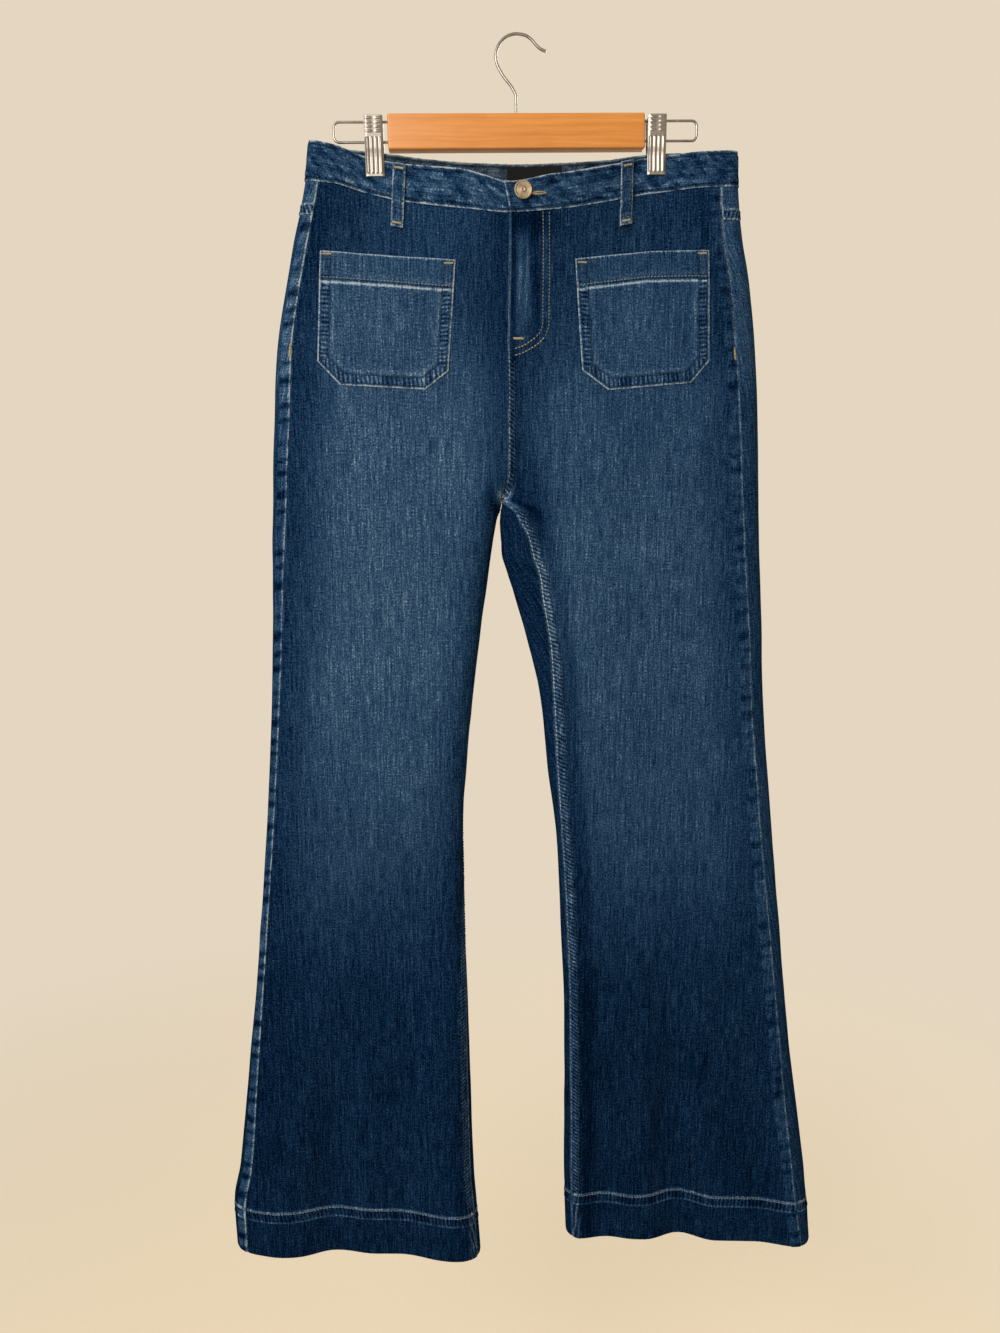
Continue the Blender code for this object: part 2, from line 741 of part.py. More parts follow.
def clip_core(side, parent):
    """Block that slides on the two wires of a rail"""
    centre = (CLIP_CENTRES[side], 0, CORE_TOP - CORE_SIZE[2] / 2)
    core = block("clip_core_" + side, CORE_SIZE, 1.0, 1, STEEL, parent, centre)
    for number, height in enumerate(RAIL_HEIGHTS):
        bm = bmesh.new()
        bmesh.ops.create_cone(
            bm, cap_ends=True, segments=12, depth=2 * CORE_SIZE[0] * MM,
            radius1=(WIRE_RADIUS + LAY_GAP) * MM, radius2=(WIRE_RADIUS + LAY_GAP) * MM,
        )
        mesh = bpy.data.meshes.new(f"bore_{side}_{number}")
        bm.to_mesh(mesh)
        bm.free()
        cutter = add_object(mesh.name, mesh, CUTTERS)
        cutter.parent = parent
        cutter.location = (centre[0] * MM, 0, height * MM)
        cutter.rotation_euler = (0, math.radians(90), 0)
        cutter.hide_render = True
        cutter.display_type = "WIRE"
        cut = core.modifiers.new(f"bore_{number}", "BOOLEAN")
        cut.operation = "DIFFERENCE"
        cut.solver = "EXACT"
        cut.object = cutter
    return core


def clip_jaw(side, face, parent):
    """Bent plate that grips the waistband from the front or the back"""
    name = f"clip_jaw_{face}_{side}"
    sign = -1.0 if face == "front" else 1.0
    bm = bmesh.new()
    bmesh.ops.create_grid(bm, x_segments=1, y_segments=len(JAW) - 1, size=1.0)
    for vert in bm.verts:
        bend = JAW[round((1 - vert.co.y) / 2 * (len(JAW) - 1))]
        x = vert.co.x * CLIP_WIDTH / 2
        vert.co = Vector((x, sign * bend.out, bend.height)) * MM
    if face == "back":
        bmesh.ops.reverse_faces(bm, faces=bm.faces[:])
    mesh = bpy.data.meshes.new(name)
    bm.to_mesh(mesh)
    bm.free()
    made = add_object(name, mesh, PARTS, STEEL)
    wall = made.modifiers.new("plate", "SOLIDIFY")
    wall.thickness = CLIP_PLATE * MM
    wall.offset = -1.0
    made.parent = parent
    made.location = (CLIP_CENTRES[side] * MM, 0, 0)
    return made


def hanger():
    """Bar, hook, rails and clips, under one tilted empty"""
    frame = bpy.data.objects.new("hanger_frame", None)
    PARTS.objects.link(frame)
    frame.location = [value * MM for value in STEM_FOOT]
    frame.rotation_euler = (0, -HANGER_TILT, 0)
    block("hanger_bar", BAR_SIZE, BAR_EDGE, 3, WOOD, frame, (0, 0, -BAR_SIZE[2] / 2))
    hanger_hook(frame)
    for side in OUTWARD:
        hanger_rail(side, frame)
        clip_core(side, frame)
        clip_jaw(side, "front", frame)
        clip_jaw(side, "back", frame)


for existing in list(bpy.data.objects):
    bpy.data.objects.remove(existing, do_unlink=True)

PARTS = new_collection("wide_leg_jeans_on_clip_hanger")
CUTTERS = new_collection("cutters")
INDIGO = make_material("indigo_denim", (0.045, 0.075, 0.14), 0.9)
BLACK_TAPE = make_material("black_tape", (0.02, 0.02, 0.022), 0.8)
BRASS = make_material("aged_brass", (0.35, 0.22, 0.1), 0.45, 1.0)
WOOD = make_material("varnished_wood", (0.55, 0.27, 0.1), 0.4)
STEEL = make_material("plated_steel", (0.6, 0.58, 0.55), 0.3, 1.0)

for wearer_side in OUTWARD:
    front_panel(wearer_side)
    back_panel(wearer_side)
    back_yoke(wearer_side)
    waistband(wearer_side)
    front_pocket(wearer_side)
for strip in LOOPS:
    belt_loop(strip)
inner_label()
waist_button()
hanger()
bpy.context.view_layer.update()
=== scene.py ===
"""Wide-leg jeans on a wooden clip hanger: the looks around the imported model.

Millimetres in the tables and functions, metres in the meshes. Sides are named as worn.
"""

import math
from collections import namedtuple

import bmesh
import bpy
import numpy as np
from mathutils import Matrix, Vector


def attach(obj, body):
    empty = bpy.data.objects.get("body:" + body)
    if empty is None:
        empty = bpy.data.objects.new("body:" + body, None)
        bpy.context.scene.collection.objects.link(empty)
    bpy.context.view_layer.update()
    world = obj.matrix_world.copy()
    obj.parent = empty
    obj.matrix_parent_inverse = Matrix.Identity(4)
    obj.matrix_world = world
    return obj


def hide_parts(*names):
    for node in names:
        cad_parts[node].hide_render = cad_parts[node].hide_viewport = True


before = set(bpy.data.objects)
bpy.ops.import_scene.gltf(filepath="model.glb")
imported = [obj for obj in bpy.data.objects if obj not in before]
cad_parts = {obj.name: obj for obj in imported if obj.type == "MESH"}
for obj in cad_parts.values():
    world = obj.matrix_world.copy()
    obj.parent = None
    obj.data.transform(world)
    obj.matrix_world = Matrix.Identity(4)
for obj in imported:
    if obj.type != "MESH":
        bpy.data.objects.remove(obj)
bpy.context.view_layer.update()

MM = 0.001

# Sign of x towards the side seam of each half
OUTWARD = {"right": -1.0, "left": 1.0}

# Cloth
DENIM = 1.1
BAND_THICKNESS = 2.2
BAND_STEP = 0.9
LOOP_THICKNESS = 1.4
LABEL_THICKNESS = 0.8
SEAM_HALF_GAP = 0.12
LAY_GAP = 0.35
PATCH_GAP = 0.5
FRONT_LOOP_GAP = 1.3
BACK_LOOP_GAP = 0.5

# Nominal heights, before the waist sags and the hems tilt
BAND_TOP = -98.5
BAND_BOTTOM = -131.0
YOKE_SIDE = -161.0
YOKE_CENTRE = -196.0
FLY_END = -292.0
RISE_BEND = -395.0
CROTCH = -425.0
HEM = {"right": -1246.0, "left": -1243.0}
HEM_DEPTH = 54.0
HEM_RIDGE = 11.0

# Where the waist's sag, the yoke's slope and the hem's tilt fade out
SAG_END = -300.0
YOKE_FADE_END = -310.0
CLIP_PINCH_TOP = -140.0
CLIP_PINCH_END = -235.0
TILT_START = -700.0
HEM_TILT = {"right": -12.0, "left": 14.0}

# Fly: the left front laps over the right one
FLY_UNDERLAP = 9.0
FLY_LIFT = 1.7
FLY_LIFT_END = -345.0
FLY_WIDTH = (16.0, 44.0)
BAND_UNDERLAP = 30.0
BAND_LIFT = 2.7
BAND_LEAN = 6.0

# Radius across each leg's folded edges
OUTER_FOLD = 24.0
INNER_FOLD = 20.0
WAIST_FOLD = 11.0
WAIST_FOLD_RUN = 60.0

# The legs by height: the outer and inner edge, how far in from each its seam lies on the front, or on
# the back where that is under 0, and the depth of the walls
Section = namedtuple("Section", "height outer seam_inset inner inseam_wrap depth")
SECTIONS = {
    "right": (
        Section(-98, -195.5, 12, -8, 0, 12),
        Section(-131, -200.5, 13, -8, 0, 12),
        Section(-193, -214.5, 14.5, -8.5, 0, 12),
        Section(-285, -232, 16, -9, 0, 13),
        Section(-349, -237, 17, -8.5, 0, 14),
        Section(-395, -239.5, 16, -8.5, 0, 15),
        Section(-425, -240.7, 15.5, -14.3, 0, 15),
        Section(-444, -241.5, 15, -19.3, -14, 15),
        Section(-470, -242.8, 14, -23.8, -19, 15),
        Section(-566, -246, 11, -37.6, -21, 14),
        Section(-670, -252, 9.5, -49, -19, 14),
        Section(-777, -260.4, 8.6, -55.8, -11, 13),
        Section(-850, -267.5, 8.8, -55.2, -2, 13),
        Section(-926, -274.8, 9, -52.2, 6, 13),
        Section(-1041, -288.5, 12, -49, 10, 14),
        Section(-1148, -301.5, 15, -45.8, 11, 15),
        Section(-1192, -309.3, 15, -42.5, 11, 16),
        Section(-1246, -307.7, 13, -39.3, 11, 16),
    ),
    "left": (
        Section(-98, 209.5, 17, -8, 0, 12),
        Section(-131, 212, 18, -8, 0, 12),
        Section(-180, 218, 19.5, -8, 0, 12),
        Section(-225, 227.3, 21, -8.5, 0, 12),
        Section(-290, 234.8, 21.5, -9, 0, 13),
        Section(-328, 238.4, 21, -8.5, 0, 14),
        Section(-395, 242, 20, -8.3, 0, 15),
        Section(-425, 243.4, 19, -13.8, 0, 15),
        Section(-437, 244, 18.5, -16.3, 22, 15),
        Section(-448, 244.8, 18.5, -17.2, 28, 15),
        Section(-460, 245.5, 18, -16.3, 34, 15),
        Section(-479, 246.6, 18, -15.3, 38, 15),
        Section(-498, 248, 17.5, -9.7, 39, 15),
        Section(-522, 249.7, 17, -2.2, 35, 15),
        Section(-567, 252.9, 15.5, 11.1, 29, 14),
        Section(-625, 256, 15, 24.5, 21, 14),
        Section(-707, 265, 15, 33.6, 17, 14),
        Section(-779, 272.8, 14.5, 43, 13, 13),
        Section(-879, 285.1, 13.5, 48.2, 14, 13),
        Section(-966, 295.4, 12.5, 52.6, 13, 13),
        Section(-1090, 312.9, 16, 54, 14.5, 14),
        Section(-1159, 323.7, 17.5, 54.5, 15, 15),
        Section(-1246, 333, 13, 57.7, 15, 16),
    ),
}

# The back's centre seam stands to the side of the front one
BACK_CENTRE_SHIFT = 16.0
CENTRE_SHIFT_RUN = 200.0

# Depth and sag of the waist's front and back; the clips grip it where it is thinnest
WaistStop = namedtuple("WaistStop", "across front_depth back_depth front_sag back_sag")
WAIST = (
    WaistStop(-200, 6.0, 6.0, 0, 0),
    WaistStop(-172, 5.5, 5.0, 2.5, 1),
    WaistStop(-145, 1.45, 1.45, 9, 4),
    WaistStop(-123, 1.45, 1.45, 14, 6),
    WaistStop(-90, 9, 4, 20.5, 9),
    WaistStop(-50, 15, 6.5, 25.5, 11),
    WaistStop(-5, 18, 8, 29.5, 11.5),
    WaistStop(45, 15, 6.5, 24, 10),
    WaistStop(88, 9, 4, 15.5, 7.5),
    WaistStop(118, 1.45, 1.45, 8, 4),
    WaistStop(140, 1.45, 1.45, 5, 2),
    WaistStop(175, 5.5, 5.0, 1.5, 0.5),
    WaistStop(211, 6.0, 6.0, 0, 0),
)

# Folds that run up each leg, with across and half_width as shares of its width
FOLD_FULL_HEIGHT = -1150.0
Fold = namedtuple("Fold", "leg across half_width shift top")
FOLDS = (
    Fold("right", 0.20, 0.20, -8.0, -900),
    Fold("right", 0.42, 0.16, 5.0, -930),
    Fold("right", 0.90, 0.24, -12.0, -860),
    Fold("left", 0.06, 0.18, -8.0, -950),
    Fold("left", 0.54, 0.15, 13.0, -830),
    Fold("left", 0.84, 0.12, 5.0, -1000),
)

# Soft creases, each from one point to another as seen from its own face; a rise under 0 is a trough
Crease = namedtuple("Crease", "leg back x0 z0 x1 z1 width rise")
CREASES = (
    Crease("right", False, -26, -344, -128, -362, 7, 0.8),
    Crease("right", False, -14, -381, -104, -414, 8, -0.9),
    Crease("right", False, -62, -470, -196, -506, 14, 0.8),
    Crease("right", False, -44, -655, -98, -548, 10, 1.1),
    Crease("right", False, -238, -728, -112, -779, 16, 1.0),
    Crease("right", False, -82, -797, -196, -838, 14, -0.9),
    Crease("right", False, -124, -872, -186, -1122, 17, 1.2),
    Crease("right", False, -246, -925, -266, -1164, 12, -1.0),
    Crease("right", False, -70, -1010, -84, -1180, 11, 0.9),
    Crease("left", False, 10, -158, 40, -181, 6, -1.1),
    Crease("left", False, 18, -303, 60, -349, 8, 0.8),
    Crease("left", False, -2, -398, 36, -474, 9, -2.0),
    Crease("left", False, 20, -384, 124, -410, 9, 0.8),
    Crease("left", False, 64, -520, 184, -547, 14, 0.8),
    Crease("left", False, 102, -744, 236, -778, 15, -0.9),
    Crease("left", False, 62, -801, 172, -840, 15, 1.0),
    Crease("left", False, 118, -892, 152, -1133, 15, 1.3),
    Crease("left", False, 226, -884, 264, -1131, 14, -1.1),
    Crease("right", True, -18, -398, -120, -440, 11, -1.6),
    Crease("right", True, -42, -448, -150, -478, 13, 1.1),
    Crease("right", True, -74, -628, -178, -664, 15, 0.9),
    Crease("right", True, -74, -776, -208, -801, 9, -1.3),
    Crease("right", True, -90, -812, -232, -825, 10, 1.1),
    Crease("right", True, -152, -905, -176, -1148, 17, 1.2),
    Crease("left", True, 16, -402, 126, -436, 11, -1.7),
    Crease("left", True, 36, -455, 168, -470, 13, 1.0),
    Crease("left", True, 78, -598, 190, -640, 15, 0.8),
    Crease("left", True, 66, -782, 196, -797, 9, -1.2),
    Crease("left", True, 88, -818, 222, -836, 10, 1.0),
    Crease("left", True, 186, -888, 226, -1150, 18, 1.2),
)

Loop = namedtuple("Loop", "name side across back width lean")
LOOPS = (
    Loop("belt_loop_front_right", "right", -110.5, False, 12.5, -4.0),
    Loop("belt_loop_front_left", "left", 102.5, False, 12.5, 0.0),
    Loop("belt_loop_side_right", "right", -92.0, True, 12.5, 0.0),
    Loop("belt_loop_side_left", "left", 96.0, True, 12.5, 0.0),
    Loop("belt_loop_back", "left", 8.0, True, 16.0, 0.0),
)
LOOP_RISE = 0.5
LOOP_DROP = 58.0
LOOP_FOOT_START = 4.0
LOOP_FOOT_RUN = 10.0

Corner = namedtuple("Corner", "across height")
POCKETS = {
    "right": {
        "top": (Corner(-187, -194.5), Corner(-123, -198), Corner(-59.3, -202.2)),
        "low": (Corner(-191.8, -295.7), Corner(-170.9, -317.5), Corner(-89.5, -321.5), Corner(-67, -304.2)),
    },
    "left": {
        "top": (Corner(183.2, -190.2), Corner(125, -191.5), Corner(54.2, -200.1)),
        "low": (Corner(186, -293), Corner(168.6, -313.8), Corner(87.9, -321.1), Corner(62.1, -302.5)),
    },
}
POCKET_TOP_STOPS = (0.0, 0.5, 1.0)
POCKET_LOW_STOPS = (0.0, 0.17, 0.83, 1.0)
POCKET_HEM = 24.0

LABEL_SPAN = (-15.5, 41.8)
LABEL_HEIGHT = 20.0
LABEL_DROP = 3.0

BUTTON_CENTRE = (1.2, -142.0)
BUTTON_RADIUS = 8.5
BUTTON_HEIGHT = 3.6
SHANK_RADIUS = 4.0
BUTTONHOLE = (12.2, 25.2)

# Offsets into the cloth's noise, so that no two pieces show the same slubs
GRAIN = {"back": 700.0, "left": 1900.0, "yoke": 300.0, "band": 911.0, "pocket": 5000.0}

# Outer row of the fly's stitching, as seen on the front
Bend = namedtuple("Bend", "across height")
FLY_STITCH = (
    Bend(28.9, -158.5), Bend(29.6, -215), Bend(29.7, -258), Bend(27.2, -268.5), Bend(22.1, -275.6),
    Bend(11.5, -283), Bend(1.9, -286.8), Bend(-9.6, -289.6),
)
ROW_SPACING = 6.0
FLY_ROWS_END = -8.5
FLY_GOLD_START = -272.0
FLY_TACK = (Bend(-3.0, -273.5), Bend(2.5, -273.5), Bend(8.0, -273.5))
HIP_ROW_END = -296.0
HIP_TACK = -286.0

# Hanger, in a frame of its own that tilts about the foot of the hook
HANGER_TILT = math.radians(1.1)
STEM_FOOT = (-1.3, 0.0, -71.0)
BAR_SIZE = (242.0, 14.0, 31.4)
BAR_EDGE = 1.8
# The bar and the clips' jaws hang this much higher than on the model, as photographed
BAR_RAISE = 1.9
JAW_RAISE = 2.5
WIRE_RADIUS = 1.2
HOOK_RADIUS = 1.4
RAIL_REACH = 171.5
RAIL_HEIGHTS = (-3.6, -21.4)
RAIL_CORNER = 5.0
CLIP_CENTRES = {"right": -134.0, "left": 132.4}
CLIP_WIDTH = 17.5
CLIP_PLATE = 1.2
JAW = (
    Bend(8.6, -2.6), Bend(7.6, -12), Bend(6.7, -22), Bend(5.8, -30),
    Bend(4.3, -36), Bend(3.85, -39), Bend(3.85, -54.8),
)
HOOK = (
    Bend(0, 0.3), Bend(0, 17), Bend(-3.5, 25.5), Bend(-11.8, 36.2),
    Bend(-17.4, 46.4), Bend(-18.6, 53.2), Bend(-16.8, 60.4), Bend(-12.2, 67.0),
    Bend(-5.6, 71.2), Bend(1.3, 72.4), Bend(9.0, 71.2), Bend(14.9, 67.6),
    Bend(19.4, 62.8), Bend(23.4, 59.4), Bend(28.8, 57.2),
)
HOOK_STEPS = 6

# Thread
STITCH_PITCH = 3.2
STITCH_LENGTH = 2.5
STITCH_DIP = 0.28
THREAD_RADIUS = 0.4
TACK_PITCH = 0.62

# Distances of the double rows from their seams
INSEAM_ROWS = (1.8, 7.8)
BACK_ROWS = (1.8, 7.6)
RISE_ROWS = (1.6, 7.2)
POCKET_ROWS = (2.2, 10.5)

# Widths of the pressed allowances
SIDE_ALLOWANCE = 10.5
RISE_ALLOWANCE = 8.5

# Camera and studio
STUDIO_LIGHT = (1.79, 1.66, 1.47)
CAMERA_PLACE = (-0.0609, -1.011, -0.4328)
CAMERA_PITCH = 9.06
CAMERA_TURN = -2.5
CAMERA_LENS = 27.06
SENSOR = 36.0
FLOOR_HEIGHT = -1.75


def smoothstep(value):
    value = np.clip(value, 0.0, 1.0)
    return value * value * (3 - 2 * value)


def slopes(keys, values):
    """Slopes at a table's rows that never overshoot its values"""
    steps = np.diff(values) / np.diff(keys)
    found = np.zeros(len(keys))
    found[0], found[-1] = steps[0], steps[-1]
    for i in range(1, len(keys) - 1):
        if steps[i - 1] * steps[i] > 0:
            found[i] = 2 / (1 / steps[i - 1] + 1 / steps[i])
    return found


def make_curve(keys, values):
    """Smooth function of arrays through a table's rows, whose keys may fall or rise"""
    order = np.argsort(keys)
    keys = np.array(keys, float)[order]
    values = np.array(values, float)[order]
    tangents = slopes(keys, values)

    def curve(key):
        key = np.clip(np.asarray(key, float), keys[0], keys[-1])
        i = np.clip(np.searchsorted(keys, key, side="right") - 1, 0, len(keys) - 2)
        width = keys[i + 1] - keys[i]
        t = (key - keys[i]) / width
        start = (1 + 2 * t) * (1 - t) ** 2 * values[i] + t * (1 - t) ** 2 * width * tangents[i]
        end = t * t * (3 - 2 * t) * values[i + 1] - t * t * (1 - t) * width * tangents[i + 1]
        return start + end

    return curve


def table_curves(rows, key):
    """One smooth function for each column of a table"""
    keys = [getattr(row, key) for row in rows]
    return {
        column: make_curve(keys, [getattr(row, column) for row in rows])
        for column in rows[0]._fields
        if column != key
    }


BODY = {side: table_curves(rows, "height") for side, rows in SECTIONS.items()}
WAIST_CURVES = table_curves(WAIST, "across")
Size = namedtuple("Size", "outer inner fold edge inner_edge flat half seam inseam depth")


def closing(height):
    """0 where the legs are one at the centre, 1 below the crotch, along the rise seam"""
    fall = np.clip((RISE_BEND - height) / (RISE_BEND - CROTCH), 0, 1)
    return 1 - np.sqrt(1 - fall * fall)


def outer_fold(height):
    """Radius across the outer edge, which is tighter at the waist"""
    return WAIST_FOLD + (OUTER_FOLD - WAIST_FOLD) * smoothstep((BAND_BOTTOM - height) / WAIST_FOLD_RUN)


def quarter(radius, depth):
    """Length of a quarter of the folded edge"""
    return math.pi / 2 * np.sqrt((radius * radius + depth * depth) / 2)


def inset_length(inset, radius, depth):
    """Length along the cloth from a folded edge to a seam that shows at an inset from it"""
    reach = np.abs(inset)
    bent = quarter(radius, depth) * np.arccos(np.clip(1 - reach / radius, -1, 1)) / (math.pi / 2)
    straight = quarter(radius, depth) + reach - radius
    return np.copysign(np.where(reach < radius, bent, straight), inset)


def section(side, height):
    """Sizes of one half's section: its edges, folds, seams and lengths"""
    read = BODY[side]
    outer, inner, depth = read["outer"](height), read["inner"](height), read["depth"](height)
    fold = outer_fold(height)
    edge = quarter(fold, depth)
    inner_edge = quarter(INNER_FOLD, depth)
    flat = np.abs(outer - inner) - fold - INNER_FOLD
    half = edge + flat + inner_edge
    seam = inset_length(read["seam_inset"](height), fold, depth)
    inseam = half - read["inseam_wrap"](height)
    return Size(outer, inner, fold, edge, inner_edge, flat, half, seam, inseam, depth)


def sway(side, share, height):
    """Depth of the soft folds that run up each leg from its hem"""
    total = np.zeros(np.shape(share))
    for fold in FOLDS:
        if fold.leg == side:
            off = np.clip((share - fold.across) / fold.half_width, -1, 1)
            strength = smoothstep((fold.top - height) / (fold.top - FOLD_FULL_HEIGHT))
            total = total + fold.shift * strength * np.cos(off * math.pi / 2) ** 2
    return total


def wall_depth(across, height, back, depth):
    """Distance of the cloth's outer face from the hanging plane"""
    waist = np.where(back, WAIST_CURVES["back_depth"](across), WAIST_CURVES["front_depth"](across))
    free = smoothstep((CLIP_PINCH_TOP - height) / (CLIP_PINCH_TOP - CLIP_PINCH_END))
    return waist + (depth - waist) * free


def sag(across, height, back):
    """Drop of the waist below its ends, which fades out down the seat"""
    drop = np.where(back, WAIST_CURVES["back_sag"](across), WAIST_CURVES["front_sag"](across))
    return -drop * (1 - smoothstep((BAND_BOTTOM - height) / (BAND_BOTTOM - SAG_END)))


def tilt(side, share, height):
    """Slope of the hem, which grows down the leg"""
    grow = smoothstep((TILT_START - height) / (TILT_START - HEM[side]))
    return HEM_TILT[side] * (share - 0.5) * grow


def fly_lift(across, height, lift):
    """How far the left front stands out where it laps over the right one"""
    beside = 1 - smoothstep((across - FLY_WIDTH[0]) / (FLY_WIDTH[1] - FLY_WIDTH[0]))
    low = 1 - smoothstep((FLY_END - height) / (FLY_END - FLY_LIFT_END))
    return lift * beside * low


def cloth(side, height, along, lift=0.0):
    """Points of the cloth's outer face, on the last axis.

    along is measured from the outer edge: positive over the front, negative over the back.
    """
    height, along = np.broadcast_arrays(np.asarray(height, float), np.asarray(along, float))
    size = section(side, height)
    close = closing(height)
    over = (close == 1) & (np.abs(along) > size.half)
    along = np.where(over, along - np.copysign(2 * size.half, along), along)
    back = along < 0
    reach = np.abs(along)
    width = np.abs(size.outer - size.inner)
    turn = np.clip(reach / size.edge, 0, 1) * math.pi / 2
    left = np.clip((size.half - reach) / size.inner_edge, 0, 1)
    inner_turn = left * math.pi / 2
    at_edge = reach < size.edge
    past = reach > size.half
    at_inner = (reach >= size.edge + size.flat) & ~past
    inner_inset = width - INNER_FOLD * ((1 - close) * left + close * (1 - np.cos(inner_turn)))
    inset = np.select(
        [at_edge, at_inner, past],
        [size.fold * (1 - np.cos(turn)), inner_inset, width + reach - size.half],
        size.fold + reach - size.edge,
    )
    inner_rise = 1 - close + close * np.sin(inner_turn)
    rise = np.select([at_edge, at_inner, past], [np.sin(turn), inner_rise, 1 - close], 1.0)
    share = inset / width
    across = size.outer - OUTWARD[side] * inset
    shift = BACK_CENTRE_SHIFT * share * smoothstep((height - RISE_BEND) / CENTRE_SHIFT_RUN)
    across = across + np.where(back, shift, 0)
    depth = wall_depth(across, height, back, size.depth)
    if side == "left":
        depth = depth + np.where(back, 0, fly_lift(across, height, lift))
    y = np.where(back, depth, -depth) * rise + sway(side, share, height)
    z = height + sag(across, height, back) + tilt(side, share, height)
    return np.stack([across, y, z], -1)


def unit(vectors):
    return vectors / np.maximum(np.linalg.norm(vectors, axis=-1, keepdims=True), 1e-9)


def cloth_normal(side, height, along, lift=0.0):
    """Directions that point out of the cloth"""
    step = 0.4
    run = cloth(side, height, along + step, lift) - cloth(side, height, along - step, lift)
    rise = cloth(side, height + step, along, lift) - cloth(side, height - step, along, lift)
    return unit(np.cross(run, rise)) * -OUTWARD[side]


def moved_out(side, height, along, distance, lift=0.0):
    """Points at a distance outside the cloth's outer face"""
    height, along = np.broadcast_arrays(np.asarray(height, float), np.asarray(along, float))
    distance = np.broadcast_to(distance, height.shape)
    return cloth(side, height, along, lift) + cloth_normal(side, height, along, lift) * distance[..., None]


def front_place(side, across, height):
    """Nominal heights and lengths along the cloth of points seen on the flat of the front"""
    nominal = np.asarray(height, float)
    for _ in range(6):
        nominal = height - sag(across, nominal, False)
    size = section(side, nominal)
    return nominal, inset_length(np.abs(size.outer - across), size.fold, size.depth)


def back_place(side, across, nominal):
    """Lengths along the cloth of points of the back's flat, at nominal heights"""
    size = section(side, nominal)
    span = np.abs(size.outer - size.inner)
    shift = BACK_CENTRE_SHIFT * smoothstep((nominal - RISE_BEND) / CENTRE_SHIFT_RUN)
    inset = (size.outer - across) / (OUTWARD[side] - shift / span)
    return -inset_length(inset, size.fold, size.depth)


def yoke_line(side, along, height):
    """Nominal height of the yoke seam, lower towards the centre back"""
    size = section(side, height)
    share = smoothstep((-along - size.edge) / (size.half - size.edge) * 0.5) * 2
    return YOKE_SIDE + (YOKE_CENTRE - YOKE_SIDE) * share


def ripple(turns, seed):
    """Uneven wave from -1 to 1"""
    phase = 2 * math.pi * turns
    wander = 1.1 * np.sin(0.37 * phase + seed) + 0.7 * np.sin(0.13 * phase + 2.3 * seed)
    return np.sin(phase + wander + seed) * (0.72 + 0.28 * np.sin(0.21 * phase + 1.7 * seed))


def near(distance, reach):
    """1 at a line, falling off to nothing within a few reaches"""
    return np.exp(-np.square(distance / reach))


def strip(distance, width, soft=1.2):
    """1 within a width of an edge, 0 past it"""
    return smoothstep((width - distance) / soft + 0.5) * (distance > -soft)


def creases(side, back, points):
    """Rise of the soft creases that are listed one by one"""
    total = np.zeros(points.shape[:-1])
    for crease in CREASES:
        if crease.leg != side or crease.back != back:
            continue
        dx, dz = crease.x1 - crease.x0, crease.z1 - crease.z0
        length = math.hypot(dx, dz)
        x, z = points[..., 0] - crease.x0, points[..., 2] - crease.z0
        along = (x * dx + z * dz) / length
        bow = 0.06 * length * np.sin(np.clip(along / length, 0, 1) * math.pi)
        off = (x * dz - z * dx) / length + bow
        taper = np.sin(np.clip(along / length, 0, 1) * math.pi) ** 0.8
        total += crease.rise * taper * near(off, crease.width)
    return total


def rolling(side, back, points):
    """Faint uneven hollows of cloth that has hung for a while"""
    x, z = points[..., 0], points[..., 2]
    seed = 1.0 + (side == "left") + 2.0 * back
    slow = ripple(x / 83 + z / 410, seed) * ripple(z / 137 - x / 260, seed + 2)
    quick = ripple(x / 41 - z / 520, seed + 4) * ripple(z / 71 + x / 150, seed + 5)
    return 0.55 * slow + 0.25 * quick


FLY_ACROSS = make_curve([bend.height for bend in FLY_STITCH], [bend.across for bend in FLY_STITCH])


def panel_gaps(side, back, height, along):
    """Distances from a panel's point to its side seam, inner seam and hem"""
    size = section(side, height)
    if back:
        start = np.where(height >= CROTCH, -size.half, size.inseam - 2 * size.half)
        return size.seam - along, along - start, height - HEM[side]
    end = np.where(height >= CROTCH, size.half, size.inseam)
    return along - size.seam, end - along, height - HEM[side]


def holds_allowance(side, back):
    """The side seam's allowance is pressed towards one panel, which it raises and wears"""
    return back if side == "right" else not back


# Fine form of cloth at each point: its rise, how worn in bars it is, its place along and in from the
# nearest seam, its distance from the nearest worn edge, and how braided it is
Relief = namedtuple("Relief", "rise bars run edge inward braid")


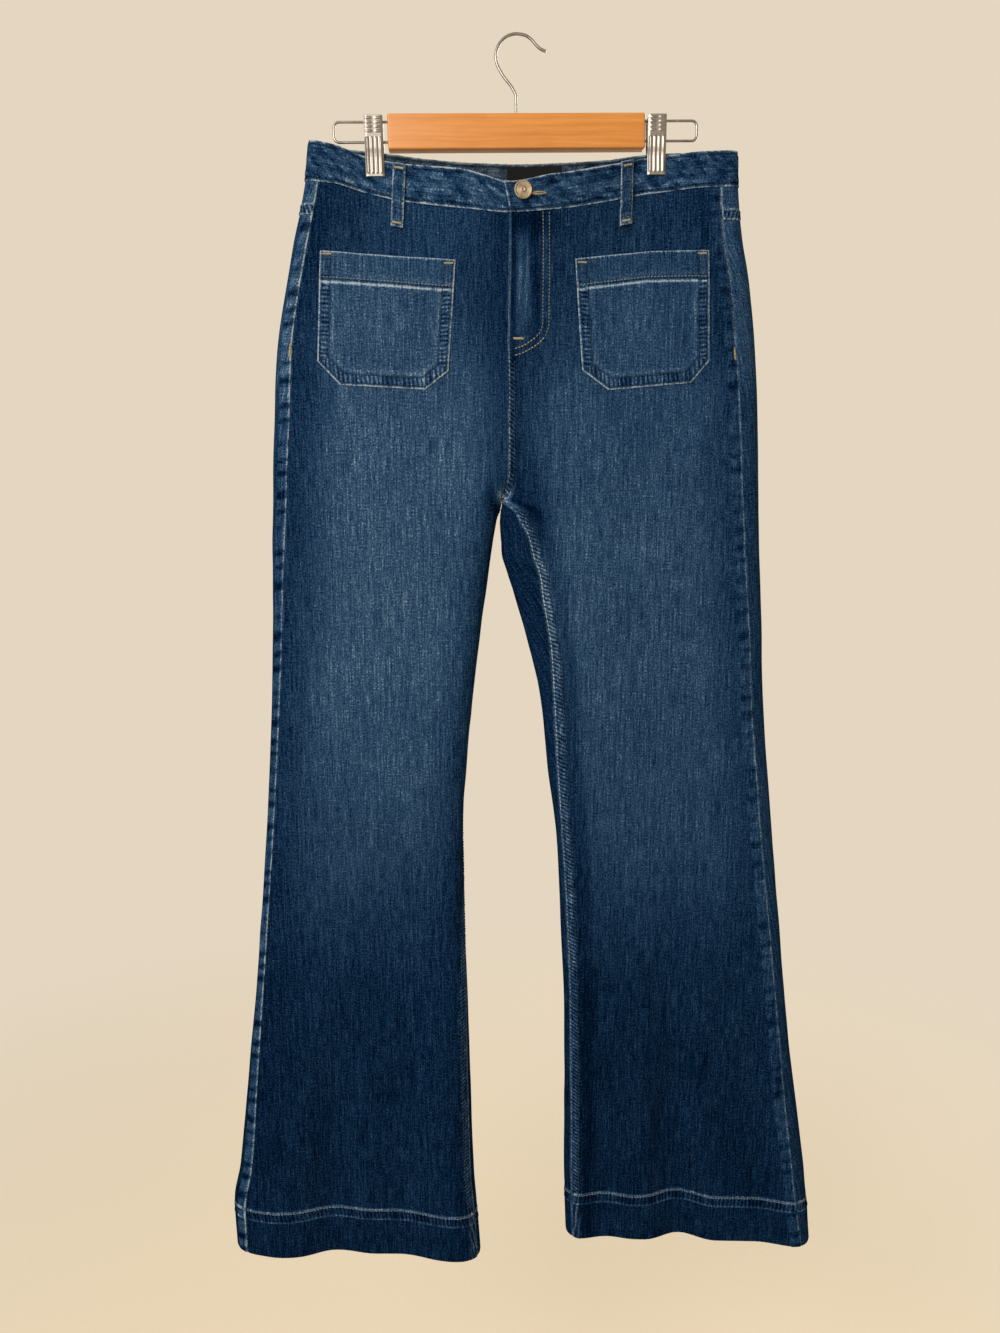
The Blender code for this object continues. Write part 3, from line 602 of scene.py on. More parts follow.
def panel_relief(side, back, height, along, points):
    """Creases, seams, the fly's facing and the rolled hem of a panel"""
    to_side, to_inner, to_hem = panel_gaps(side, back, height, along)
    below = smoothstep((CROTCH - height) / 12)
    seed = 3.0 + 2 * (side == "left") + back
    rise = creases(side, back, points) + rolling(side, back, points)
    rise *= smoothstep(to_side / 18) * smoothstep(to_inner / 18) * smoothstep((BAND_BOTTOM - height) / 25)
    rise -= 0.5 * near(to_side, 0.9) + 0.5 * near(to_inner, 0.9)
    bars = np.zeros(np.shape(rise))
    # Side seam
    if holds_allowance(side, back):
        allowance = strip(to_side, SIDE_ALLOWANCE)
        rise += allowance * (0.45 + 0.22 * ripple((height + 0.5 * to_side) / 11.5, seed))
        bars = 0.22 * allowance
    # Inseam, felled onto the front
    braid = np.zeros(np.shape(rise))
    fell = strip(to_inner, 9.0) * below
    if not back:
        rise += fell * (0.8 + 0.28 * ripple((height + 0.9 * to_inner) / 7.6, seed + 3))
        bars = np.maximum(bars, 0.3 * fell)
        braid = fell
    # Rise seam and the fly's facing
    if not back and side == "left":
        rise_seam = strip(to_inner, RISE_ALLOWANCE) * (1 - below) * smoothstep((FLY_END + 4 - height) / 4)
        rise += rise_seam * (0.7 + 0.3 * ripple((height + 0.8 * to_inner) / 8.0, seed + 5))
        bars = np.maximum(bars, 0.4 * rise_seam)
        braid = np.maximum(braid, rise_seam)
        inside = FLY_ACROSS(points[..., 2]) + 1.5 - points[..., 0]
        facing = smoothstep(inside / 2.5) * smoothstep((points[..., 2] - FLY_STITCH[-1].height + 2) / 3)
        rise += 0.55 * facing * smoothstep((BAND_BOTTOM - height) / 10)
        pinch = near(inside - 1.5, 1.0) + near(inside - 1.5 - ROW_SPACING, 1.0)
        rise -= 0.3 * pinch * facing
    # Centre back seam
    if back:
        seat = strip(to_inner, RISE_ALLOWANCE) * (1 - below)
        rise += seat * (0.35 + 0.2 * ripple((height + 0.8 * to_inner) / 8.5, seed + 6))
        bars = np.maximum(bars, seat)
    # Hem, with a ridge where its allowance ends and a band that twists
    turned = strip(to_hem, HEM_DEPTH)
    rise += 0.5 * turned + 0.5 * near(to_hem - HEM_DEPTH + HEM_RIDGE, 1.6)
    rope = near(to_hem - HEM_DEPTH + 4, 6.0)
    rise += 0.35 * rope * ripple((along + 0.8 * to_hem) / 13.0, seed + 7)
    rise -= 0.45 * near(to_hem - HEM_DEPTH + 1.5, 1.1) + 0.6 * near(to_hem, 1.4)
    band = strip(np.abs(to_hem - HEM_DEPTH + 6), 5.5)
    bars = np.maximum(bars, 0.35 * band)
    braid = np.maximum(braid, 0.55 * band)
    run = np.where(to_hem < HEM_DEPTH + 2, along, height)
    edge = np.minimum.reduce([
        np.abs(to_side), np.where(to_inner < 20, np.abs(to_inner), 99), np.abs(to_hem - HEM_DEPTH),
        np.abs(to_hem - HEM_DEPTH + HEM_RIDGE) + 0.6, to_hem + 0.8,
    ])
    inward = np.where(to_hem < HEM_DEPTH + 2, 0.4 * to_hem, np.minimum(to_side, to_inner))
    return Relief(rise, bars, run, edge, inward, braid)


# Tone of the cloth, from 0 dark to 1 pale, down the legs
Tone = namedtuple("Tone", "height front back")
TONES = (
    Tone(-98, 0.42, 0.42),
    Tone(-131, 0.36, 0.38),
    Tone(-190, 0.36, 0.44),
    Tone(-270, 0.44, 0.52),
    Tone(-340, 0.56, 0.54),
    Tone(-420, 0.58, 0.47),
    Tone(-540, 0.58, 0.45),
    Tone(-680, 0.54, 0.43),
    Tone(-780, 0.45, 0.38),
    Tone(-860, 0.33, 0.30),
    Tone(-940, 0.22, 0.23),
    Tone(-1060, 0.18, 0.19),
    Tone(-1246, 0.17, 0.18),
)
TONE_CURVES = table_curves(TONES, "height")

# Darker and paler marks of the front cloth, as seen on the front; the first four are painted shade
Mark = namedtuple("Mark", "legs x half_width z half_height tone")
MARKS = (
    # Painted shade of the fold below the crotch, beside the right side seam, on the right inner thigh, and
    # in the crease under the waistband by the fly
    Mark(("right", "left"), 20, 15, -430, 42, -0.22),
    Mark(("right", "left"), -232, 6, -385, 50, -0.10),
    Mark(("right", "left"), -24, 12, -500, 60, -0.10),
    Mark(("left",), 14, 26, -168, 13, -0.20),
    Mark(("left",), 17, 4.5, -225, 50, -0.16),
    Mark(("left",), 25.5, 2.5, -225, 60, 0.10),
)


def grain_place(side, back, height, along):
    """Place across the cloth's upright grain, which runs straight up the flat of each leg"""
    size = section(side, height)
    return np.where(back, -along, along) + size.fold - size.edge - np.abs(size.outer)


def panel_tone(side, back, height, along, points):
    """Tone of the cloth: worn pale down the middle of the thighs and dark below the knee, darker towards
    its seams and folded edges, partly as unworn cloth and partly as painted shade
    """
    to_side, to_inner, _ = panel_gaps(side, back, height, along)
    to_fold = section(side, height).half - np.abs(along)
    fade_and_shade = TONE_CURVES["back" if back else "front"](height)
    # Darker towards the side seam and the folded edge: partly unworn cloth, partly painted shade where the
    # leg turns away
    middle = smoothstep((to_side + 4) / 62) * smoothstep((to_fold + 6) / 62)
    fade_and_shade = 0.10 + (fade_and_shade - 0.10) * (0.40 + 0.60 * middle)
    # Painted shade: the left half darker above the knee, as the light falls from the right half's side
    if side == "left":
        fade_and_shade = fade_and_shade - 0.06 * smoothstep((height + 820) / 200)
    hip = smoothstep((height + 350) / 60)
    low = smoothstep((-700 - height) / 200)
    if holds_allowance(side, back):
        bars = smoothstep((ripple((height + 0.25 * to_side) / 17.5, 7.0 + back) - 0.15) / 0.6)
        weaker = 0.5 if side == "left" else 1.0
        fade_and_shade = fade_and_shade + strip(to_side, SIDE_ALLOWANCE) * (0.19 + 0.15 * low - 0.42 * bars) * weaker
    else:
        # Painted shadow: a dark line in the step beside the seam, where the other panel's folded edge lies
        # over this one
        fade_and_shade = fade_and_shade - 0.38 * near(to_side - 0.7, 1.0)
    fade_and_shade = fade_and_shade + 0.07 * near(to_side, 34) * (side == "left")
    if back:
        return fade_and_shade + (0.15 * hip + 0.10 * (side == "left")) * near(to_side, 24)
    x, z = points[..., 0], points[..., 2]
    # Marks from the table, the first four of them painted shade
    for mark in MARKS:
        if side in mark.legs:
            place = near(x - mark.x, mark.half_width) * near(z - mark.z, mark.half_height)
            fade_and_shade = fade_and_shade + mark.tone * place
    # Pale between the inseam's rows and where it crosses the rise seam, darker beside the left inseam, and
    # painted shade past the crossing
    below = smoothstep((CROTCH - height) / 12)
    fade_and_shade = fade_and_shade + (0.17 + 0.12 * low) * near(to_inner - 4.6, 3.4) * below
    fade_and_shade = fade_and_shade - 0.13 * near(to_inner - 17, 8) * below * (side == "left")
    crossing = near(to_inner - 8, 7) * near(height - CROTCH - 1, 8)
    fade_and_shade = fade_and_shade + 0.70 * crossing - 0.30 * near(to_inner - 19, 7) * near(height - CROTCH + 2, 14)
    # Worn lines down the fly
    if side == "left":
        worn = smoothstep((x + 4) / 4) * smoothstep((13 - x) / 4) * near(z + 222, 44)
        fade_and_shade = fade_and_shade + 0.40 * worn * (0.85 + 0.3 * np.cos((x - 1) * 0.8))
    return fade_and_shade


def make_mesh(name, points, flip):
    """Mesh of a grid of points in mm"""
    rows, columns = points.shape[:2]
    index = np.arange(rows * columns).reshape(rows, columns)
    faces = np.stack([index[:-1, :-1], index[1:, :-1], index[1:, 1:], index[:-1, 1:]], -1).reshape(-1, 4)
    if flip:
        faces = faces[:, ::-1]
    mesh = bpy.data.meshes.new(name)
    mesh.from_pydata((points.reshape(-1, 3) * MM).tolist(), [], faces.tolist())
    mesh.shade_smooth()
    return mesh


def new_object(name, data):
    made = bpy.data.objects.new(name, data)
    bpy.context.scene.collection.objects.link(made)
    return made


def round_edges(made, width, segments=2, degrees=30.0):
    """Bevels a piece's sharp edges by a width in mm"""
    bevel = made.modifiers.new("round", "BEVEL")
    bevel.width = width * MM
    bevel.segments = segments
    bevel.limit_method = "ANGLE"
    bevel.angle_limit = math.radians(degrees)


def add_piece(name, data, materials):
    """New piece of the object, which rides on its one body"""
    made = new_object(name, data)
    for material in materials:
        data.materials.append(material)
    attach(made, "root")
    return made


def cloth_piece(name, points, side, thickness, weave, fade_and_shade, relief, materials=None):
    """Shell of cloth: a fine grid with what its material reads, made solid"""
    mesh = make_mesh(name, points, side == "left")
    shape = points.shape[:2]
    across, down = weave
    sets = {
        "weave": (across * MM, down * MM, 0.0),
        # The tone holds both the cloth's wear and painted shade
        "wear": (fade_and_shade, relief.edge, relief.bars),
        "seam": (relief.run, relief.inward, relief.braid),
    }
    for label, values in sets.items():
        stacked = np.stack([np.broadcast_to(value, shape) for value in values], -1)
        attribute = mesh.attributes.new(label, "FLOAT_VECTOR", "POINT")
        attribute.data.foreach_set("vector", stacked.astype(np.float32).ravel())
    materials = materials or (DENIM_FACE, DENIM_INSIDE)
    made = add_piece(name, mesh, materials)
    wall = made.modifiers.new("wall", "SOLIDIFY")
    wall.thickness = thickness * MM
    wall.offset = -1.0
    wall.use_even_offset = True
    wall.material_offset = len(materials) - 1
    return made


def grid_area(points):
    """Area in square metres and the longest row and column in metres of a grid in mm"""
    run = points[:, 1:] - points[:, :-1]
    fall = points[1:] - points[:-1]
    cells = np.linalg.norm(np.cross(run[:-1], fall[:, :-1]), axis=-1)
    width = np.linalg.norm(run, axis=-1).sum(1).max()
    length = np.linalg.norm(fall, axis=-1).sum(0).max()
    return float(cells.sum()) * MM * MM, (float(width) * MM, float(length) * MM)


def declare_sheet(plain):
    """Works out the area of cloth the piece was cut from, measured before its creases; nothing is done with
    it
    """
    area, flat = grid_area(plain)
    area = min(area, flat[0] * flat[1])


def eased(count, share):
    """Steps from 0 to 1 that crowd towards both ends"""
    steps = np.linspace(0, 1, count)
    return steps * (1 - share) + smoothstep(steps) * share


def spread(stops, counts):
    """Values through the stops, with a count of steps between each two"""
    parts = [np.linspace(a, b, count, endpoint=False) for a, b, count in zip(stops, stops[1:], counts)]
    return np.concatenate([*parts, [stops[-1]]])


def spread_rows(stops, counts):
    """The same for stops that are arrays, one value a row"""
    parts = []
    for a, b, count in zip(stops, stops[1:], counts):
        t = np.arange(count) / count
        parts.append(a[:, None] + (b - a)[:, None] * t)
    return np.concatenate([*parts, stops[-1][:, None]], 1)


PANEL_ROW_STOPS = (BAND_BOTTOM, -380.0, -450.0, -1184.0, -1208.0, -1246.0)
PANEL_ROW_COUNTS = (84, 28, 226, 26, 20)
PANEL_COLUMNS = (3, 7, 5, 36, 5, 7, 3)
EDGE_STRIP = 1.6
SEAM_STRIP = 13.0
FOLD_SPAN = 20.0


def panel_heights(side):
    heights = spread(PANEL_ROW_STOPS, PANEL_ROW_COUNTS)
    drop = (HEM[side] - PANEL_ROW_STOPS[-1]) * (TILT_START - heights) / (TILT_START - PANEL_ROW_STOPS[-1])
    return heights + np.where(heights < TILT_START, drop, 0)


def panel_columns(start, end):
    """Lengths along the cloth in each row, close together at the panel's edges"""
    stops = (
        start, start + EDGE_STRIP, start + SEAM_STRIP, start + SEAM_STRIP + FOLD_SPAN,
        end - SEAM_STRIP - FOLD_SPAN, end - SEAM_STRIP, end - EDGE_STRIP, end,
    )
    return spread_rows(stops, PANEL_COLUMNS)


def front_grid(side):
    """Nominal heights and lengths along the cloth of the front panel's points"""
    heights = panel_heights(side)
    size = section(side, heights)
    end = np.where(heights >= CROTCH, size.half, size.inseam) - SEAM_HALF_GAP
    if side == "right":
        under = smoothstep((heights - FLY_END) / FLY_UNDERLAP)
        end = end + (FLY_UNDERLAP + 2 * SEAM_HALF_GAP) * under
    along = panel_columns(size.seam + SEAM_HALF_GAP, end)
    return np.broadcast_to(heights[:, None], along.shape), along


def back_ends(side, heights):
    size = section(side, heights)
    start = np.where(heights >= CROTCH, -size.half, size.inseam - 2 * size.half) + SEAM_HALF_GAP
    return start, size.seam - SEAM_HALF_GAP


def back_columns(side, heights):
    return panel_columns(*back_ends(side, heights))


def back_lengths(side, height):
    """The same where each column of a row has a height of its own"""
    columns = [back_columns(side, height[:, column])[:, column] for column in range(height.shape[1])]
    return np.stack(columns, 1)


def back_grid(side):
    """The same for the back panel, whose top follows the yoke's slope"""
    heights = panel_heights(side)
    heights = heights[heights <= YOKE_SIDE]
    heights = np.concatenate([[YOKE_SIDE], heights])
    along = back_columns(side, heights)
    level = np.broadcast_to(heights[:, None], along.shape)
    drop = yoke_line(side, along, level) - YOKE_SIDE
    height = level + drop * (1 - smoothstep((YOKE_SIDE - level) / (YOKE_SIDE - YOKE_FADE_END)))
    return height, back_lengths(side, height)


def on_panel(side, back, height, along, out=0.0):
    """Points on a panel's creased face, moved out by a distance"""
    height, along = np.broadcast_arrays(np.asarray(height, float), np.asarray(along, float))
    plain = cloth(side, height, along, FLY_LIFT)
    rise = panel_relief(side, back, height, along, plain).rise
    return plain + cloth_normal(side, height, along, FLY_LIFT) * (rise + out)[..., None]


def panel(side, back):
    """Front or back of one leg, cut in one piece from the waist or yoke to the hem"""
    height, along = back_grid(side) if back else front_grid(side)
    plain = cloth(side, height, along, FLY_LIFT)
    relief = panel_relief(side, back, height, along, plain)
    points = plain + cloth_normal(side, height, along, FLY_LIFT) * relief.rise[..., None]
    points[0, :, 2] -= SEAM_HALF_GAP
    fade_and_shade = panel_tone(side, back, height, along, plain)
    face = "back" if back else "front"
    offset = GRAIN["back"] * back + GRAIN["left"] * (side == "left")
    across = grain_place(side, back, height, along)
    weave = (across + offset, height)
    made = cloth_piece(f"{face}_cloth_{side}", points, side, DENIM, weave, fade_and_shade, relief)
    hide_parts(f"{face}_panel_{side}")
    declare_sheet(plain)


YOKE_ROWS = 22


def yoke_edge(side, along):
    """Nominal height of the yoke seam at a length along the cloth"""
    low = YOKE_SIDE + np.zeros(np.shape(along))
    for _ in range(3):
        low = yoke_line(side, along, low)
    return low


def on_yoke(side, height, along, out=0.0):
    """Points on a yoke's face, whose lower edge laps over the back panel"""
    height, along = np.broadcast_arrays(np.asarray(height, float), np.asarray(along, float))
    return moved_out(side, height, along, yoke_relief(side, height, along).rise + out)


def yoke_relief(side, height, along):
    to_side, to_inner, _ = panel_gaps(side, True, height, along)
    to_low = height - yoke_edge(side, along)
    seed = 21.0 + (side == "left")
    rise = -0.5 * near(to_side, 0.9) - 0.5 * near(to_inner, 0.9)
    felled = strip(to_low, 9.5)
    rise += felled * (0.55 + 0.25 * ripple((along + 0.8 * to_low) / 8.5, seed)) - 0.5 * near(to_low, 0.8)
    seat = strip(to_inner, RISE_ALLOWANCE)
    rise += seat * (0.35 + 0.2 * ripple((height + 0.8 * to_inner) / 8.5, seed + 1))
    bars = np.maximum(felled, seat)
    if holds_allowance(side, True):
        side_strip = strip(to_side, SIDE_ALLOWANCE)
        rise += side_strip * (0.4 + 0.2 * ripple((height + 0.5 * to_side) / 11.5, seed + 2))
        bars = np.maximum(bars, side_strip)
    edge = np.minimum.reduce([np.abs(to_side), np.abs(to_inner), np.abs(to_low)])
    edge = np.minimum(edge, np.abs(to_low - 9.6) + 0.5)
    run = np.where(to_low < 10, along, height)
    inward = np.where(to_low < 10, to_low, np.minimum(to_side, to_inner))
    return Relief(rise, 0.4 * bars, run, edge, inward, np.maximum(felled, seat))


def back_yoke(side):
    rows = np.linspace(0, 1, YOKE_ROWS)
    heights = BAND_BOTTOM + (YOKE_SIDE - BAND_BOTTOM) * rows
    along = back_columns(side, heights)
    height = BAND_BOTTOM + (yoke_line(side, along, YOKE_SIDE) - BAND_BOTTOM) * rows[:, None]
    along = back_lengths(side, height)
    relief = yoke_relief(side, height, along)
    plain = cloth(side, height, along)
    points = plain + cloth_normal(side, height, along) * relief.rise[..., None]
    points[..., 2] += SEAM_HALF_GAP * (2 * rows[:, None] - 1)
    to_side, _, _ = panel_gaps(side, True, height, along)
    fade_and_shade = TONE_CURVES["back"](height) + 0.10 * near(to_side, 24)
    across = grain_place(side, True, height, along)
    weave = (across + GRAIN["yoke"], height)
    made = cloth_piece("back_yoke_cloth_" + side, points, side, DENIM, weave, fade_and_shade, relief)
    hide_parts("back_yoke_" + side)
    declare_sheet(plain)


BAND_COLUMNS = (66, 26, 26, 60, 60)
BAND_ROWS = 30


def band_end(side, height):
    """Length along the cloth to the front end of a waistband half"""
    size = section(side, height)
    if side == "right":
        return size.half + BAND_UNDERLAP
    return size.half + BAND_LEAN * (height - BAND_BOTTOM) / (BAND_TOP - BAND_BOTTOM)


# How far the photographed band's top edge stands above the model's, across the front
BandTop = namedtuple("BandTop", "across rise")
BAND_TOPS = (
    BandTop(-197, 4.5), BandTop(-172, 2.0), BandTop(-147, 0.0), BandTop(-111, 1.0), BandTop(-57, 2.5),
    BandTop(-32, -1.0), BandTop(-9, -5.5), BandTop(8, -3.8), BandTop(33, -0.8), BandTop(70, 0.0),
)
BAND_TOP_RISE = make_curve([row.across for row in BAND_TOPS], [row.rise for row in BAND_TOPS])


def band_relief(side, height, along):
    to_top, to_low = BAND_TOP - height, height - BAND_BOTTOM
    to_end = band_end(side, height) - along
    to_centre = along + section(side, height).half
    seed = 11.0 + (side == "left")
    rise = -0.5 * near(to_top, 1.3) - 0.45 * near(to_low, 1.2)
    rise -= 0.5 * near(to_end, 1.2) + 0.4 * near(to_centre, 1.0)
    rise += 0.34 * near(to_top - 3.5, 4.0) * ripple((along - 1.1 * to_top) / 9.5, seed)
    rise += 0.40 * near(to_low - 4.0, 5.0) * ripple((along + 1.2 * to_low) / 8.8, seed + 1)
    rise += 0.35 * ripple((along + 1.5 * height) / 31, seed + 3) * near(to_low - 15, 12)
    rise += 0.30 * ripple((along - 1.2 * height) / 47, seed + 4) * near(to_low - 15, 12)
    rise -= 0.3 * near(to_top - 2.6, 0.8) + 0.3 * near(to_low - 2.4, 0.8)
    rim = np.maximum(strip(to_top, 6), strip(to_low, 7))
    edge = np.minimum.reduce([to_top, to_low, to_end, to_centre])
    run = 0.95 * (along + 0.9 * to_low * -OUTWARD[side])
    return Relief(rise, 0.62 + 0.10 * rim, run, edge, 1.2 * to_low, 0.20 * rim)


def on_band(side, height, along, out=0.0):
    """Points on the waistband's face, moved out by a distance"""
    height, along = np.broadcast_arrays(np.asarray(height, float), np.asarray(along, float))
    distance = BAND_STEP + band_relief(side, height, along).rise + out
    points = moved_out(side, height, along, distance, BAND_LIFT)
    front = smoothstep(along / 12 + 1) * (height - BAND_BOTTOM) / (BAND_TOP - BAND_BOTTOM)
    points[..., 2] += BAND_TOP_RISE(points[..., 0]) * front
    return points


def waistband(side):
    """Band half from the centre back, round the side, to the front's lap"""
    heights = BAND_TOP + (BAND_BOTTOM - BAND_TOP) * eased(BAND_ROWS, 0.5)
    size = section(side, heights)
    end = band_end(side, heights)
    stops = (SEAM_HALF_GAP - size.half, -2 * size.edge, size.edge * 0, 2 * size.edge, end - 90, end)
    along = spread_rows(stops, BAND_COLUMNS)
    height = np.broadcast_to(heights[:, None], along.shape)
    relief = band_relief(side, height, along)
    points = on_band(side, height, along)
    points[-1, :, 2] += SEAM_HALF_GAP
    to_top, to_low = BAND_TOP - height, height - BAND_BOTTOM
    # Painted shade: the left half darker, as the light falls from the right half's side; also darker
    # towards the side
    fade_and_shade = 0.47 - 0.05 * (side == "left") - 0.05 * near(along, 30)
    # Painted shade in the grooves of the top and bottom stitch rows
    fade_and_shade = fade_and_shade - 0.22 * near(to_top - 3.0, 0.8) - 0.24 * near(to_low - 3.0, 0.9)
    fade_and_shade = fade_and_shade + 0.08 * near(to_low - 5.5, 1.4)
    weave = (height, along + GRAIN["band"])
    made = cloth_piece("waistband_cloth_" + side, points, side, BAND_THICKNESS, weave, fade_and_shade, relief)
    round_edges(made, 0.7, degrees=50.0)
    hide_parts("waistband_" + side)
    declare_sheet(cloth(side, height, along))


POCKET_GRID = (124, 132)


def pocket_shape(side, u, t):
    """Places across and down the front of a pocket's points, u across and t down"""
    shape = POCKETS[side]
    top_x, top_z = zip(*shape["top"])
    low_x, low_z = zip(*shape["low"])
    x = np.interp(u, POCKET_TOP_STOPS, top_x)
    z = np.interp(u, POCKET_TOP_STOPS, top_z)
    across = x + (np.interp(u, POCKET_LOW_STOPS, low_x) - x) * t
    height = z + (np.interp(u, POCKET_LOW_STOPS, low_z) - z) * t
    return across, height


def pocket_outline(side):
    """Corners of a pocket in order, from the outer top corner down and round to the inner one"""
    shape = POCKETS[side]
    return [shape["top"][0], *shape["low"], shape["top"][-1]]


def line_gap(x, z, first, second):
    """Distance from points to the line through two corners"""
    dx, dz = second[0] - first[0], second[1] - first[1]
    return np.abs((x - first[0]) * dz - (z - first[1]) * dx) / math.hypot(dx, dz)


def pocket_gaps(side, x, z):
    """Distances from a pocket's points to each of its sewn sides, and down from its top"""
    corners = pocket_outline(side)
    gaps = [line_gap(x, z, a, b) for a, b in zip(corners, corners[1:])]
    top_x, top_z = zip(*POCKETS[side]["top"])
    order = np.argsort(top_x)
    return gaps, np.interp(x, np.array(top_x)[order], np.array(top_z)[order]) - z


def pocket_wear_and_shade(side, x, z):
    """Painted shade in the grooves of the stitch rows and beside the hem's row, pale inside the rows and
    along the hem's fold
    """
    gaps, to_top = pocket_gaps(side, x, z)
    edge = np.minimum.reduce(gaps)
    below = smoothstep((to_top - POCKET_HEM) / 3)
    # Painted shade: dark lines in the grooves of the two stitch rows and beside the hem's row
    wear = 0.13 * near(edge - 13.5, 2.6) * below - 0.20 * near(edge - 10.5, 1.0)
    wear -= 0.16 * near(edge - 2.6, 0.8)
    wear += 0.20 * near(to_top - POCKET_HEM - 4.0, 1.3) - 0.22 * near(to_top - POCKET_HEM - 1.4, 0.9)
    return wear + 0.06 * near(to_top - POCKET_HEM + 3, 2.0)


def pocket_relief(side, x, z):
    """Fine form of a pocket: pinched rows, puckers between them and the turned hem's ridge"""
    gaps, to_top = pocket_gaps(side, x, z)
    edge = np.minimum.reduce(gaps)
    seed = 31.0 + (side == "left")
    run = np.where(np.minimum(gaps[0], gaps[-1]) <= edge + 0.01, z, x)
    rise = 0.25 - 0.75 * near(edge, 0.9) - 0.4 * near(edge - 2.2, 0.8) - 0.35 * near(edge - 10.5, 0.9)
    rise += 0.34 * strip(edge - 1.5, 8.5) * ripple((run + 0.7 * edge) / 5.2, seed)
    hem = strip(to_top, POCKET_HEM + 5)
    rise += 0.35 * hem - 0.5 * near(to_top, 0.8) - 0.4 * near(to_top - POCKET_HEM, 1.0)
    rise += 0.25 * near(to_top - POCKET_HEM - 4.5, 1.6)
    rise += 0.3 * ripple(x / 47 + z / 90, seed + 1) * smoothstep(edge / 25)
    worn = np.minimum(np.minimum(edge, np.abs(to_top)), np.abs(to_top - POCKET_HEM - 4.5) + 0.5)
    below_hem = smoothstep((to_top - POCKET_HEM) / 4 + 1)
    bars = np.maximum(strip(edge, 11.0) * below_hem, 0.35 * strip(np.abs(to_top - POCKET_HEM), 4.5))
    puckers = strip(np.abs(edge - 6.3), 3.6) * below_hem
    return Relief(rise, 0.5 * bars, run, worn, 0.25 * edge, 0.85 * puckers)


def on_pocket(side, x, z, out=0.0):
    nominal, along = front_place(side, x, z)
    rise = pocket_relief(side, x, z).rise
    return moved_out(side, nominal, along, PATCH_GAP + DENIM + rise + out, FLY_LIFT)


def front_pocket(side):
    """Patch pocket whose lower corners are cut off, on the front panel"""
    u, t = (eased(count, 0.35) for count in POCKET_GRID)
    x, z = pocket_shape(side, u[None, :], t[:, None])
    relief = pocket_relief(side, x, z)
    points = on_pocket(side, x, z)
    # Painted shade: the left pocket darker, as the light falls from the right half's side
    fade_and_shade = 0.51 - 0.07 * (side == "left") + 0.07 * near(np.hypot(x - x.mean(), z + 268), 45)
    fade_and_shade = fade_and_shade + pocket_wear_and_shade(side, x, z)
    made = cloth_piece("pocket_cloth_" + side, points, side, DENIM, (x + GRAIN["pocket"], z), fade_and_shade, relief)
    round_edges(made, 0.3, degrees=50.0)
    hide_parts("front_pocket_" + side)
    declare_sheet(points)


def loop_place(loop, u, t):
    """Nominal height, length along the cloth and lift of a belt loop's points"""
    height = BAND_TOP + LOOP_RISE - t * (LOOP_DROP + LOOP_RISE)
    outward = OUTWARD[loop.side]
    if loop.back:
        across = loop.across + loop.width * (u - 0.5) * outward + loop.lean * t
        along = back_place(loop.side, across, height)
    else:
        across = loop.across - loop.width * (u - 0.5) * outward + loop.lean * t
        size = section(loop.side, height)
        along = inset_length(np.abs(size.outer - across), size.fold, size.depth)
    foot = smoothstep((BAND_BOTTOM - LOOP_FOOT_START - height) / LOOP_FOOT_RUN)
    out = (BACK_LOOP_GAP if loop.back else FRONT_LOOP_GAP) + BAND_STEP * (1 - foot)
    return height, along, out


def on_loop(loop, u, t, out=0.0):
    """Points on a belt loop's face, moved out by a distance"""
    u, t = np.broadcast_arrays(np.asarray(u, float), np.asarray(t, float))
    height, along, lift = loop_place(loop, u, t)
    rise = loop_relief(loop, u, t).rise
    return moved_out(loop.side, height, along, lift + LOOP_THICKNESS + rise + out, BAND_LIFT)


def loop_relief(loop, u, t):
    half = loop.width / 2
    edge = half - np.abs(u - 0.5) * loop.width
    end = np.minimum(t, 1 - t) * (LOOP_DROP + LOOP_RISE)
    seed = 41.0 + loop.across
    rise = 0.25 - 0.7 * near(edge, 0.8) - 0.3 * near(edge - 2.4, 0.7)
    rise += 0.16 * ripple(t * LOOP_DROP / 7.0 + u, seed)
    rise += 0.45 * strip(end, 6.5) - 0.7 * near(end, 0.9) - 0.35 * near(end - 4.5, 1.0)
    blank = np.zeros(np.shape(rise))
    return Relief(rise, blank + 0.4, t * LOOP_DROP, np.minimum(edge, end), edge, blank + 0.25)


def belt_loop(loop):
    """Folded strip over the waistband, tacked at both ends"""
    u = np.linspace(0, 1, 19)[None, :]
    t = np.linspace(0, 1, 61)[:, None]
    points = on_loop(loop, u, t)
    relief = loop_relief(loop, u + 0 * t, t + 0 * u)
    name = loop.name.replace("belt_loop", "loop_cloth")
    weave = (u * loop.width + loop.across * 9, t * LOOP_DROP)
    made = cloth_piece(name, points, loop.side, LOOP_THICKNESS, weave, 0.46, relief)
    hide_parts(loop.name)
    declare_sheet(points)


def inner_label():
    """Bare woven label on the inside of the waistband's back"""
    u = np.linspace(0, 1, 60)[None, :]
    t = np.linspace(0, 1, 24)[:, None]
    across = LABEL_SPAN[0] + (LABEL_SPAN[1] - LABEL_SPAN[0]) * (1 - u) + 0 * t
    height = BAND_TOP - LABEL_DROP - LABEL_HEIGHT * t + 0 * u
    along = back_place("left", across, height)
    out = BAND_STEP - BAND_THICKNESS - LAY_GAP
    to_edge = np.minimum(t, 1 - t) * LABEL_HEIGHT
    rise = 0.12 * ripple(across / 19 + height / 31, 5.0) - 0.25 * near(to_edge, 0.7)
    points = moved_out("left", height, along, out + rise)
    relief = Relief(rise, 0 * rise, across, 0 * rise + 9, height, 0 * rise)
    weave = (across, height)
    made = cloth_piece("label_cloth", points, "right", LABEL_THICKNESS, weave, 0.1, relief, (TAPE,))
    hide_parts("inner_label")
    declare_sheet(points)


